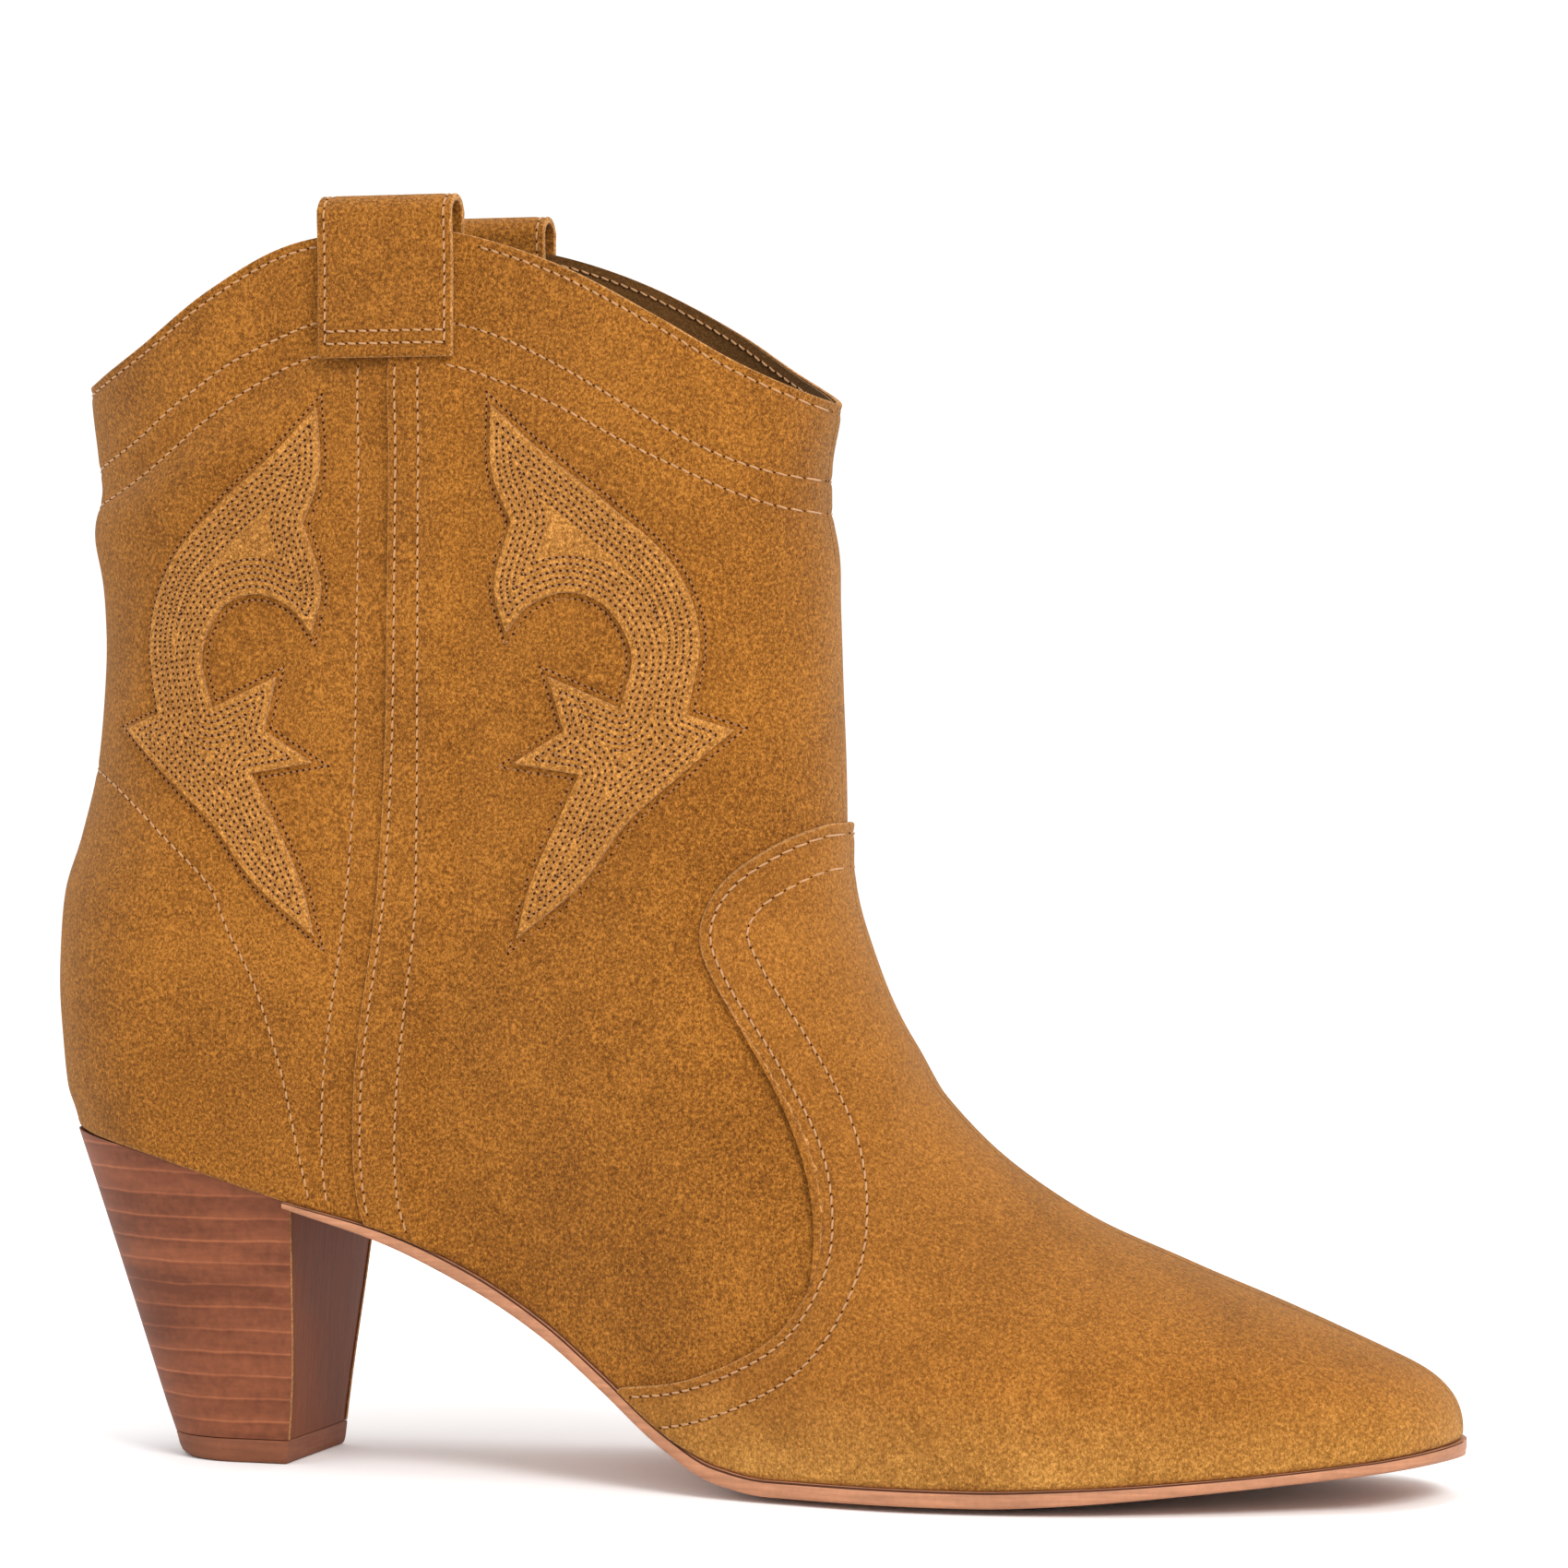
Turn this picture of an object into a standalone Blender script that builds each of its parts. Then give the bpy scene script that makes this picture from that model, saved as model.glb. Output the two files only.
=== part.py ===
"""Right-foot suede pull-on western ankle boot, modelled piece by piece.

Frame: +X towards the toe, +Y to the inner (big-toe) side, +Z up, origin on the ground at the
middle of the boot's box.  Sizes are in millimetres here and become metres in make_object.

The upper is one smooth skin.  At a point (x, z) of the side view, half_width gives how far
the skin stands out to each side; every leather layer is a shell at its own depth below that
skin, so neighbours share one surface and keep a named gap.
"""
import math

import bmesh
import bpy
import numpy as np
from mathutils import Vector
from mathutils.geometry import delaunay_2d_cdt

MM = 0.001

# ---------------------------------------------------------------- driving dimensions (mm)
FRAME_SHIFT = (8.45, 1.0, 0.0)   # from the pattern's own x, y to the middle of the boot's box
WIDTH_FITTING = 1.0      # multiplies the width of the upper, the sole and the heel
GAP = 0.5                # clearance between touching pieces with different facets
SOLE_THICKNESS = 3.0
SOLE_DOME = 1.2          # extra thickness along the sole's middle
SOLE_FLAT = 0.72         # share of the sole's width over which its underside is flat
SOLE_MARGIN = 0.7        # sole edge beyond the upper
TREAD_HEEL_END = 8.0     # the flat ball tread runs between these two x values
TREAD_TOE_END = 46.0
CAP_THICKNESS = 4.6      # heel cap (top lift)
COVER_THICKNESS = 1.0    # leather round the heel block
PANEL = (-1.2, 0.0)      # depth of each layer's two faces below the skin (+ is outwards)
STIFFENER = (-2.35, -1.65)
LINING = (-3.6, -2.8)
FACING = (-3.6, -2.8)
LAP_LIFT = 2.0           # how far a lapping edge rides up over its neighbour
LAP_WIDTH = 7.0
LAP_FLAT = 2.5           # a lapping edge stays fully lifted this far past the lap
LAP_RAMP = 6.5           # and comes down over this length
FEATHER_GAP = 0.8        # between the upper's lower edge and the sole or heel
FLAME = (0.5, 1.5)
COLLAR_BAND = 0.15       # share of the panel height covered by the collar facing
COUNTER_ROWS = 7         # the heel counter starts at this row of the back lining's grid
PUFF_ROWS = 7            # the toe puff starts at this row of the vamp lining's grid
STRAP_WIDTH = 26.5
STRAP_THICKNESS = 1.4
STRAP_CENTRE_X = -68.2
STRAP_TOP = 239.1
STRAP_FOOT_OUTSIDE = 208.0
STRAP_FOOT_INSIDE = 204.0
INSOLE_LOW, INSOLE_HIGH = 2.3, 4.3        # above the feather line
SOCK_LOW, SOCK_THICKNESS = 4.8, 1.0
PAD_LOW, PAD_THICKNESS = 5.0, 2.6
PAD_BACK_X, PAD_FRONT_X = -127.0, -84.0
LAYER_GAP = 0.4
FILLER = (0.6, 1.8)
SHANK_THICKNESS = 1.2
SHANK_BACK_X, SHANK_FRONT_X = -101.0, -8.0
SHANK_WIDTH = 14.0
INNER_INSET = 4.6        # bottom layers stop this far inside the upper
NAIL_RADIUS, NAIL_HOLE = 1.0, 1.4
NAIL_HEAD_RADIUS, NAIL_HEAD_HOLE = 1.8, 2.3
NAIL_PLACES = ((-128.0, 0.0), (-118.0, 10.5), (-118.0, -10.5), (-100.0, 11.0), (-100.0, -11.0))
SCREW_RADIUS, SCREW_HOLE = 2.1, 2.5
SCREW_HEAD_RADIUS, SCREW_HEAD_HOLE = 3.8, 4.3
SCREW_X = -110.0
PIN_RADIUS, PIN_HOLE = 1.2, 1.6
PIN_PLACES = (-114.5, -102.0)
PIN_LENGTH = 14.0

# Side-view lines of the outer skin, (x, z).
FRONT_LINE = ((11.2, 245.0), (10.6, 212.0), (10.0, 198.0), (8.8, 188.0), (9.6, 176.0),
              (10.4, 160.0), (11.0, 140.0), (11.4, 122.0), (12.0, 111.5), (14.6, 101.2),
              (19.8, 88.0), (28.0, 75.0), (41.0, 61.3), (57.5, 50.2), (76.0, 42.0),
              (94.7, 34.4), (112.5, 26.8), (120.3, 22.9), (124.6, 18.8), (126.4, 14.2),
              (126.3, 9.0), (125.4, 3.0))
BACK_LINE = ((-137.0, 40.0), (-140.0, 62.0), (-142.7, 71.0), (-144.1, 86.0), (-143.7, 98.0),
             (-142.3, 109.0), (-139.0, 119.0), (-135.8, 133.0), (-134.8, 150.0),
             (-135.3, 163.0), (-136.8, 178.0), (-137.4, 190.0), (-139.0, 205.0), (-140.5, 245.0))
TOP_LINE = ((-139.0, 204.6), (-133.0, 205.6), (-120.0, 211.4), (-104.6, 221.4), (-88.6, 229.2),
            (-70.0, 231.8), (-55.0, 230.9), (-35.8, 224.7), (-16.5, 214.8), (-3.0, 206.6),
            (10.6, 199.6))
# Underside of the upper and of its lasted edge, z at each x.
FEATHER_LINE = ((-150.0, 62.6), (-138.0, 62.6), (-130.0, 61.6), (-118.0, 59.2), (-105.0, 55.4),
                (-91.0, 51.3), (-70.0, 45.8), (-54.0, 39.2), (-38.0, 29.8), (-26.0, 20.9),
                (-14.0, 11.6), (-3.0, 5.9), (TREAD_HEEL_END, SOLE_THICKNESS + SOLE_DOME),
                (TREAD_TOE_END, SOLE_THICKNESS + SOLE_DOME), (65.0, 4.9), (85.0, 6.2),
                (105.0, 8.0), (130.0, 11.0))
# Thickness of the sole along the boot: skived at the heel breast, thinner at the toe.
SOLE_LINE = ((-89.0, 1.2), (-50.0, SOLE_THICKNESS), (TREAD_TOE_END, SOLE_THICKNESS),
             (95.0, 2.1), (130.0, 1.9))
SEAM_LINE = ((45.0, -72.9), (52.0, -75.0), (62.0, -75.8), (72.0, -75.5), (85.0, -74.0),
             (99.0, -71.9), (112.0, -70.4), (140.0, -68.7), (170.0, -68.2), (235.0, -67.9))
VAMP_EDGE = ((11.9, 122.6), (3.1, 118.0), (-5.2, 111.0), (-8.5, 102.0), (-5.2, 92.5),
             (4.2, 77.6), (13.2, 61.6), (16.8, 48.0), (15.4, 38.8), (9.8, 30.6),
             (0.4, 24.8), (-10.5, 20.8), (-23.0, 19.0))

TOE_POINT = (126.4, 15.0)
# Front edge of the shaft's front panel, hidden under the vamp.
PANEL_FOOT = ((23.5, 90.0), (20.8, 82.0), (21.2, 70.0), (22.8, 57.0), (21.8, 43.0),
              (13.5, 27.5), (-1.0, 17.5), (-14.0, 12.6))

# Half widths and roundings of the skin.
LOW_WIDTH = ((-150.0, 27.0), (-90.0, 27.0), (-70.0, 26.2), (-45.0, 27.2), (-20.0, 31.5),
             (5.0, 36.5), (35.0, 39.8), (60.0, 38.4), (85.0, 33.0), (105.0, 26.0),
             (120.0, 19.5), (130.0, 15.0))
HIGH_WIDTH = ((40.0, 27.0), (62.0, 27.5), (85.0, 29.0), (110.0, 27.5), (130.0, 27.0),
              (160.0, 27.0), (190.0, 27.0), (245.0, 26.5))
FRONT_ROUNDING = ((9.0, 36.0), (13.0, 36.0), (30.0, 38.0), (60.0, 33.0), (95.0, 20.0),
                  (115.0, 14.0), (128.0, 12.0))
BACK_ROUNDING = ((40.0, 27.0), (90.0, 29.0), (130.0, 32.0), (200.0, 40.0), (245.0, 42.0))
CENTRE_LINE = ((-150.0, 0.0), (-90.0, 0.0), (-40.0, 1.5), (0.0, 0.5), (35.0, -1.0),
               (75.0, 1.5), (105.0, 4.0), (130.0, 5.5))

# Western flame scroll on the front panel; each run is smooth and ends in a point.
FLAME_RUNS = (
    ((-48.0, 199.0), (-38.0, 190.2), (-26.0, 181.0), (-14.0, 170.0), (-9.0, 157.0), (-11.0, 142.0)),
    ((-11.0, 142.0), (-3.0, 139.2)),
    ((-3.0, 139.2), (-13.0, 130.2), (-22.5, 121.5), (-31.0, 110.5), (-43.0, 100.8)),
    ((-43.0, 100.8), (-40.0, 112.0), (-31.0, 131.0)),
    ((-31.0, 131.0), (-44.0, 133.0)),
    ((-44.0, 133.0), (-34.0, 139.0)),
    ((-34.0, 139.0), (-37.0, 149.0)),
    ((-37.0, 149.0), (-23.0, 143.2)),
    ((-23.0, 143.2), (-21.0, 153.0), (-25.5, 161.5), (-33.0, 164.4), (-40.5, 162.0), (-45.0, 157.0)),
    ((-45.0, 157.0), (-47.3, 166.0), (-44.0, 177.5)),
    ((-44.0, 177.5), (-47.8, 187.0), (-48.0, 199.0)),
)
FLAME_MIRROR_X = -64.5
FLAME_SQUEEZE = 0.94     # the scroll on the back panel is this much narrower
FLAME_LEAN = 0.04        # and leans back by this much of its height above FLAME_LEAN_Z
FLAME_LEAN_Z = 140.0

# Heel: pitch of its back edge and breast, (z, x), and its half width, (z, y).
HEEL_POINTS = 17         # points round the heel
HEEL_RINGS = 6
HEEL_FLAT = 0.16         # share of the outline taken by each straight side
HEEL_BACK = ((0.0, -119.8), (4.0, -120.9), (10.0, -123.1), (35.0, -131.2), (64.0, -140.6))
HEEL_BREAST = ((0.0, -93.6), (20.0, -91.7), (52.0, -89.4))
HEEL_HALF = ((0.0, 15.2), (12.0, 16.2), (35.0, 20.8), (64.0, 27.2))

COLOURS = {
    "suede": (0.52, 0.30, 0.13), "suede_dark": (0.44, 0.25, 0.11), "lining": (0.20, 0.11, 0.07),
    "board": (0.45, 0.36, 0.25), "steel": (0.55, 0.56, 0.58), "cork": (0.50, 0.36, 0.22),
    "foam": (0.70, 0.62, 0.48), "sole": (0.56, 0.36, 0.24), "stack": (0.24, 0.11, 0.07),
    "wood": (0.55, 0.42, 0.28), "cap": (0.42, 0.28, 0.18), "stiff": (0.62, 0.56, 0.46),
}


# ---------------------------------------------------------------- curves
def graph(points):
    """A smooth y(x) through the points that never overshoots between them."""
    xs, ys = (np.array(column) for column in zip(*points))
    steps = np.diff(xs)
    slopes = np.diff(ys) / steps
    tangents = np.zeros(len(xs))
    for k in range(1, len(xs) - 1):
        if slopes[k - 1] * slopes[k] > 0:
            left, right = 2 * steps[k] + steps[k - 1], steps[k] + 2 * steps[k - 1]
            tangents[k] = (left + right) / (left / slopes[k - 1] + right / slopes[k])
    tangents[0], tangents[-1] = slopes[0], slopes[-1]

    def value(x):
        x = np.clip(np.asarray(x, dtype=float), xs[0], xs[-1])
        k = np.clip(np.searchsorted(xs, x) - 1, 0, len(steps) - 1)
        t = (x - xs[k]) / steps[k]
        return ((2 * t**3 - 3 * t**2 + 1) * ys[k] + (t**3 - 2 * t**2 + t) * steps[k] * tangents[k]
                + (3 * t**2 - 2 * t**3) * ys[k + 1] + (t**3 - t**2) * steps[k] * tangents[k + 1])
    return value


def curve(points, per_span=12):
    """A polyline on the smooth curve (Catmull-Rom) through the points."""
    knots = np.array(points, dtype=float)
    if len(knots) == 2:
        return knots
    knots = np.vstack([2 * knots[0] - knots[1], knots, 2 * knots[-1] - knots[-2]])
    line = []
    for a, b, c, d in zip(knots, knots[1:], knots[2:], knots[3:]):
        for t in np.arange(per_span) / per_span:
            line.append(0.5 * (2 * b + (c - a) * t + (2 * a - 5 * b + 4 * c - d) * t * t
                               + (3 * b - a - 3 * c + d) * t**3))
    line.append(knots[-2])
    return np.array(line)


def at_fraction(line, fractions):
    """Points at the given fractions of a polyline's length."""
    steps = np.hypot(*np.diff(line, axis=0).T)
    run = np.concatenate([[0.0], np.cumsum(steps)])
    run /= run[-1]
    return np.stack([np.interp(fractions, run, line[:, 0]), np.interp(fractions, run, line[:, 1])], 1)


def nearest(line, points):
    """Signed distance of points to a polyline (+ on its right), and the nearest points."""
    start, step = line[:-1], np.diff(line, axis=0)
    rel = points[:, None, :] - start[None]
    t = np.clip((rel * step).sum(2) / (step**2).sum(1), 0.0, 1.0)
    away = rel - t[..., None] * step
    best = (away**2).sum(2).argmin(1)
    rows = np.arange(len(points))
    gap = away[rows, best]
    side = step[best, 0] * gap[:, 1] - step[best, 1] * gap[:, 0]
    return -np.sign(side) * np.hypot(gap[:, 0], gap[:, 1]), points - gap


def part_of(line, first, last):
    """The stretch of a polyline between the points nearest to two given points."""
    steps = np.hypot(*np.diff(line, axis=0).T)
    run = np.concatenate([[0.0], np.cumsum(steps)])
    ends = []
    for point in (first, last):
        spot = nearest(line, np.array([point], dtype=float))[1][0]
        k = int(np.argmin(((line - spot)**2).sum(1)))
        for segment in (max(k - 1, 0), min(k, len(steps) - 1)):
            t = np.dot(spot - line[segment], line[segment + 1] - line[segment]) / steps[segment]**2
            if -1e-6 <= t <= 1 + 1e-6:
                ends.append(run[segment] + t * steps[segment])
                break
    return at_fraction(line, np.linspace(ends[0], ends[1], 80) / run[-1])


def smoothstep(t):
    t = np.clip(t, 0.0, 1.0)
    return t * t * (3 - 2 * t)


front_curve = curve(FRONT_LINE)
back_curve = curve(BACK_LINE)
top_curve = curve(TOP_LINE)
feather = graph(FEATHER_LINE)
seam_x = graph(SEAM_LINE)
low_width = graph([(x, WIDTH_FITTING * half) for x, half in LOW_WIDTH])
high_width = graph([(z, WIDTH_FITTING * half) for z, half in HIGH_WIDTH])
front_rounding = graph(FRONT_ROUNDING)
back_rounding = graph(BACK_ROUNDING)
centre_line = graph(CENTRE_LINE)
heel_back = graph(HEEL_BACK)
heel_breast = graph(HEEL_BREAST)
heel_half = graph([(z, WIDTH_FITTING * half) for z, half in HEEL_HALF])
sole_thickness = graph(SOLE_LINE)


# ---------------------------------------------------------------- the skin
def centre_y(x, z):
    """The boot's curved middle, which fades out above the foot."""
    return centre_line(x) * (1 - smoothstep((z - feather(x)) / 60.0))


def full_width(x, z):
    rise = smoothstep((z - feather(x) - 12.0) / 70.0)
    return low_width(x) * (1 - rise) + high_width(z) * rise


def closing(x, z):
    """Goes from 0 at the front and back lines to 1 over the flat of the side."""
    points = np.stack([x, z], 1)
    from_front, spot = nearest(front_curve, points)
    from_back = nearest(back_curve, points)[0]
    value = 1.0
    for ratio in (from_front / front_rounding(spot[:, 0]), from_back / back_rounding(z)):
        value = value * (1 - (1 - np.minimum(ratio, 1.0))**2)
    return value


def half_width(x, z):
    return full_width(x, z) * np.sqrt(np.maximum(closing(x, z), 0.0))


def skin(xz, side, depth):
    """World points of side-view points, on side -1 or +1 (0 on the middle), at a depth."""
    x, z = xz[:, 0], xz[:, 1]
    half = half_width(x, z)
    y = side * half

    def field(dx, dz):
        return (y / full_width(x + dx, z + dz))**2 - closing(x + dx, z + dz)
    step = 0.2
    normal = np.stack([field(step, 0) - field(-step, 0),
                       4 * step * y / full_width(x, z)**2,
                       field(0, step) - field(0, -step)], 1)
    normal /= np.linalg.norm(normal, axis=1)[:, None]
    return np.stack([x, y + centre_y(x, z), z], 1) + normal * np.asarray(depth)[:, None]


# ---------------------------------------------------------------- objects
materials = {}


def material(name, roughness=0.8, metallic=0.0):
    if name not in materials:
        made = bpy.data.materials.new(name)
        made.use_nodes = True
        shader = made.node_tree.nodes["Principled BSDF"]
        shader.inputs["Base Color"].default_value = (*COLOURS[name], 1.0)
        shader.inputs["Roughness"].default_value = roughness
        shader.inputs["Metallic"].default_value = metallic
        materials[name] = made
    return materials[name]


def make_object(name, points, faces, look, roughness=0.8, metallic=0.0):
    """One closed object from points in millimetres of the pattern's own frame."""
    points = (np.asarray(points, dtype=float) + FRAME_SHIFT) * MM
    mesh = bpy.data.meshes.new(name)
    mesh.from_pydata([tuple(p) for p in points], [], faces)
    work = bmesh.new()
    work.from_mesh(mesh)
    bmesh.ops.remove_doubles(work, verts=work.verts, dist=1e-7)
    bmesh.ops.triangulate(work, faces=[f for f in work.faces if len(f.verts) > 3])
    bmesh.ops.recalc_face_normals(work, faces=work.faces)
    work.to_mesh(mesh)
    work.free()
    mesh.shade_smooth()
    mesh.set_sharp_from_angle(angle=math.radians(40))
    made = bpy.data.objects.new(name, mesh)
    bpy.context.collection.objects.link(made)
    mesh.materials.append(material(look, roughness, metallic))
    return made


def shell(name, sheet, faces, depths, look):
    """A closed shell over a sheet of (x, z, side) points, between two depths per point."""
    xz, side = sheet[:, :2], sheet[:, 2]
    low, high = (np.broadcast_to(d, len(sheet)) for d in depths)
    points = np.vstack([skin(xz, side, high), skin(xz, side, low)])
    points[:, 2] = np.maximum(points[:, 2], feather(points[:, 0]) + FEATHER_GAP)
    count = len(sheet)
    edges = {}
    for face in faces:
        for a, b in zip(face, face[1:] + face[:1]):
            edges[(a, b)] = True
    rim = [(a, b) for a, b in edges if (b, a) not in edges]
    body = [list(f) for f in faces] + [[k + count for k in reversed(f)] for f in faces]
    body += [[b, a, a + count, b + count] for a, b in rim]
    return make_object(name, points, body, look)


def folded_sheet(grid):
    """Both sides of a side-view grid, joined where it lies on the front or back line."""
    rows, columns = grid.shape[:2]
    points, index, faces = [], {}, []
    flat = grid.reshape(-1, 2)
    off_middle = np.minimum(np.abs(nearest(front_curve, flat)[0]), np.abs(nearest(back_curve, flat)[0]))
    on_middle = (off_middle < 0.05).reshape(rows, columns)
    for side in (-1.0, 1.0):
        ids = np.zeros((rows, columns), dtype=int)
        for i in range(rows):
            for j in range(columns):
                x, z = grid[i, j]
                key = (round(x, 4), round(z, 4), 0.0 if on_middle[i, j] else side)
                if key not in index:
                    index[key] = len(points)
                    points.append((x, z, key[2]))
                ids[i, j] = index[key]
        for i in range(rows - 1):
            for j in range(columns - 1):
                loop = [ids[i, j], ids[i + 1, j], ids[i + 1, j + 1], ids[i, j + 1]]
                if side > 0:
                    loop.reverse()
                loop = [int(k) for n, k in enumerate(loop) if k != loop[n - 1]]
                if len(loop) > 2:
                    faces.append(loop)
    return np.array(points), faces


def spread(count, curved=0.45):
    """Column places from the middle outwards: close together where the skin turns, then even."""
    t = np.linspace(0, 1, count)
    return np.where(t < curved, t * t / (2 * curved), t - curved / 2) / (1 - curved / 2)


def patch(start_row, end_row, middle, outer, across, along):
    """A grid filling four side-view boundary lines (a Coons patch)."""
    c0, c1 = at_fraction(start_row, across), at_fraction(end_row, across)
    r0, r1 = at_fraction(middle, along), at_fraction(outer, along)
    u, w = along[:, None, None], across[None, :, None]
    corners = ((1 - u) * (1 - w) * c0[0] + (1 - u) * w * c0[-1]
               + u * (1 - w) * c1[0] + u * w * c1[-1])
    return (1 - u) * c0[None] + u * c1[None] + (1 - w) * r0[:, None] + w * r1[:, None] - corners


# ---------------------------------------------------------------- the upper's patterns
def seam_curve(shift):
    """The side seam from the top line to the feather line, moved forward by shift."""
    z = np.linspace(235.0, 46.0, 120)
    line = np.stack([seam_x(z) + shift, z], 1)
    inside = (nearest(top_curve, line)[0] > 0) & (line[:, 1] > feather(line[:, 0]) + FEATHER_GAP)
    line = line[inside]
    top = nearest(top_curve, line[:1])[1]
    foot_x = line[-1, 0]
    return np.vstack([top, line, [[foot_x, feather(foot_x) + FEATHER_GAP]]])


def feather_curve(first_x, last_x):
    x = np.linspace(first_x, last_x, 90)
    return np.stack([x, feather(x) + FEATHER_GAP], 1)


def cross_curve(points, shift):
    """A line from the front line to the feather line, moved towards the toe by shift."""
    line = curve(points)
    step = np.gradient(line, axis=0)
    step /= np.hypot(step[:, 0], step[:, 1])[:, None]
    line = line + shift * np.stack([-step[:, 1], step[:, 0]], 1)
    above_sole = line[:, 1] > feather(line[:, 0]) + FEATHER_GAP + 0.5
    line = line[(nearest(front_curve, line)[0] > 0.5) & above_sole]
    start = nearest(front_curve, line[:1])[1]
    foot_x = line[-1, 0] - 1.0
    return np.vstack([start, line, [[foot_x, feather(foot_x) + FEATHER_GAP]]])


def lift(past_lap):
    """Height of a lapping layer over its neighbour's edge, by the distance past that edge."""
    return LAP_LIFT * (1 - smoothstep((past_lap - LAP_FLAT) / LAP_RAMP))


def back_grid(seam_shift, rows, columns=12):
    seam = seam_curve(seam_shift)
    top_end, foot_end = seam[0], seam[-1]
    back = part_of(back_curve, TOP_LINE[0], (BACK_LINE[1][0], feather(BACK_LINE[1][0]) + FEATHER_GAP))
    top = np.vstack([back[:1], part_of(top_curve, (-138.2, 204.7), top_end)])
    foot = np.vstack([back[-1:], feather_curve(back[-1, 0] + 1.0, foot_end[0])])
    across = spread(columns)
    return patch(top, foot, back, seam, across, rows)


def front_grid(seam_shift, foot_shift, rows, columns=13, lapped=False):
    seam = seam_curve(LAP_WIDTH + LAP_FLAT + LAP_RAMP if lapped else seam_shift)
    edge = cross_curve(PANEL_FOOT, foot_shift)
    middle = part_of(front_curve, TOP_LINE[-1], edge[0])
    middle[-1] = edge[0]
    top = np.vstack([middle[:1], part_of(top_curve, (9.5, 200.2), seam[0])])
    foot = np.vstack([edge, feather_curve(edge[-1, 0] - 1.0, seam[-1, 0])])
    across = spread(columns)
    grid = patch(top, foot, middle, seam, across, rows)
    if lapped:
        lines = [at_fraction(seam_curve(shift), rows) for shift in (LAP_WIDTH + LAP_FLAT, 0.0)]
        grid = np.concatenate([grid] + [line[:, None] for line in lines], 1)
    return grid


def between(start, end, across, rows):
    """The patch between two lines that both run from the front line to the feather line."""
    middle = part_of(front_curve, start[0], end[0])
    middle[0], middle[-1] = start[0], end[0]
    foot = feather_curve(start[-1, 0], end[-1, 0])
    return patch(start, end, middle, foot, across, rows)


def vamp_grid(foot_shift, rows, columns=13, lapped=False):
    across = spread(columns)
    start = cross_curve(PANEL_FOOT, LAP_FLAT + LAP_RAMP if lapped else foot_shift)
    toe = part_of(front_curve, TOE_POINT, (TOE_POINT[0], feather(TOE_POINT[0]) + FEATHER_GAP))
    middle = part_of(front_curve, start[0], toe[0])
    middle[0], middle[-1] = start[0], toe[0]
    foot = np.vstack([feather_curve(start[-1, 0], TOE_POINT[0] - 0.5), toe[-1:]])
    grid = patch(start, toe, middle, foot, across, rows)
    if lapped:
        flat_end = cross_curve(PANEL_FOOT, LAP_FLAT)
        over_panel = between(cross_curve(VAMP_EDGE, 0.0), flat_end, across, np.linspace(0, 1, 6))
        grid = np.concatenate([over_panel, grid], 0)
    return grid


def toe_rows(count, first=0.0):
    """Row places that close up towards the toe."""
    return first + (1 - first) * (1 - (1 - np.linspace(0, 1, count))**1.5)


def make_panels():
    sheet, faces = folded_sheet(back_grid(LAP_WIDTH, np.linspace(0, 1, 14)))
    shell("shaft_back_panel", sheet, faces, PANEL, "suede")

    sheet, faces = folded_sheet(front_grid(0.0, 0.0, np.linspace(0, 1, 14), lapped=True))
    raised = lift(sheet[:, 0] - seam_x(sheet[:, 1]) - LAP_WIDTH)
    shell("shaft_front_panel", sheet, faces, [d + raised for d in PANEL], "suede")

    sheet, faces = folded_sheet(vamp_grid(0.0, toe_rows(13), lapped=True))
    raised = lift(-nearest(curve(PANEL_FOOT), sheet[:, :2])[0])
    shell("vamp", sheet, faces, [d + raised for d in PANEL], "suede")


def make_linings():
    band = np.linspace(0, COLLAR_BAND, 4)
    below = np.linspace(COLLAR_BAND + 0.004, 1, 12)
    middle_of_lap = LAP_WIDTH / 2
    for rows, name, depths, look in ((band, "collar_facing", FACING, "suede_dark"),
                                     (below, "shaft_lining", LINING, "lining")):
        sheet, faces = folded_sheet(back_grid(middle_of_lap - LAYER_GAP / 2, rows, 9))
        shell(name + "_back", sheet, faces, depths, look)
        sheet, faces = folded_sheet(front_grid(middle_of_lap + LAYER_GAP / 2, 0.0, rows, 10))
        shell(name + "_front", sheet, faces, depths, look)
    counter = back_grid(middle_of_lap - LAYER_GAP / 2, below, 9)[COUNTER_ROWS:, :-1]
    shell("heel_counter", *folded_sheet(counter), STIFFENER, "stiff")

    grid = vamp_grid(2 * LAYER_GAP, toe_rows(13), 9)
    shell("vamp_lining", *folded_sheet(grid), LINING, "lining")
    shell("toe_puff", *folded_sheet(grid[PUFF_ROWS:]), STIFFENER, "stiff")


def flame_outline():
    """The scroll as one closed polygon, about 5 mm between points."""
    outline = []
    for run in FLAME_RUNS:
        line = curve(run)
        length = np.hypot(*np.diff(line, axis=0).T).sum()
        pieces = max(1, round(length / 5.5))
        outline += list(at_fraction(line, np.linspace(0, 1, pieces + 1)))[:-1]
    return np.array(outline)


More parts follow.
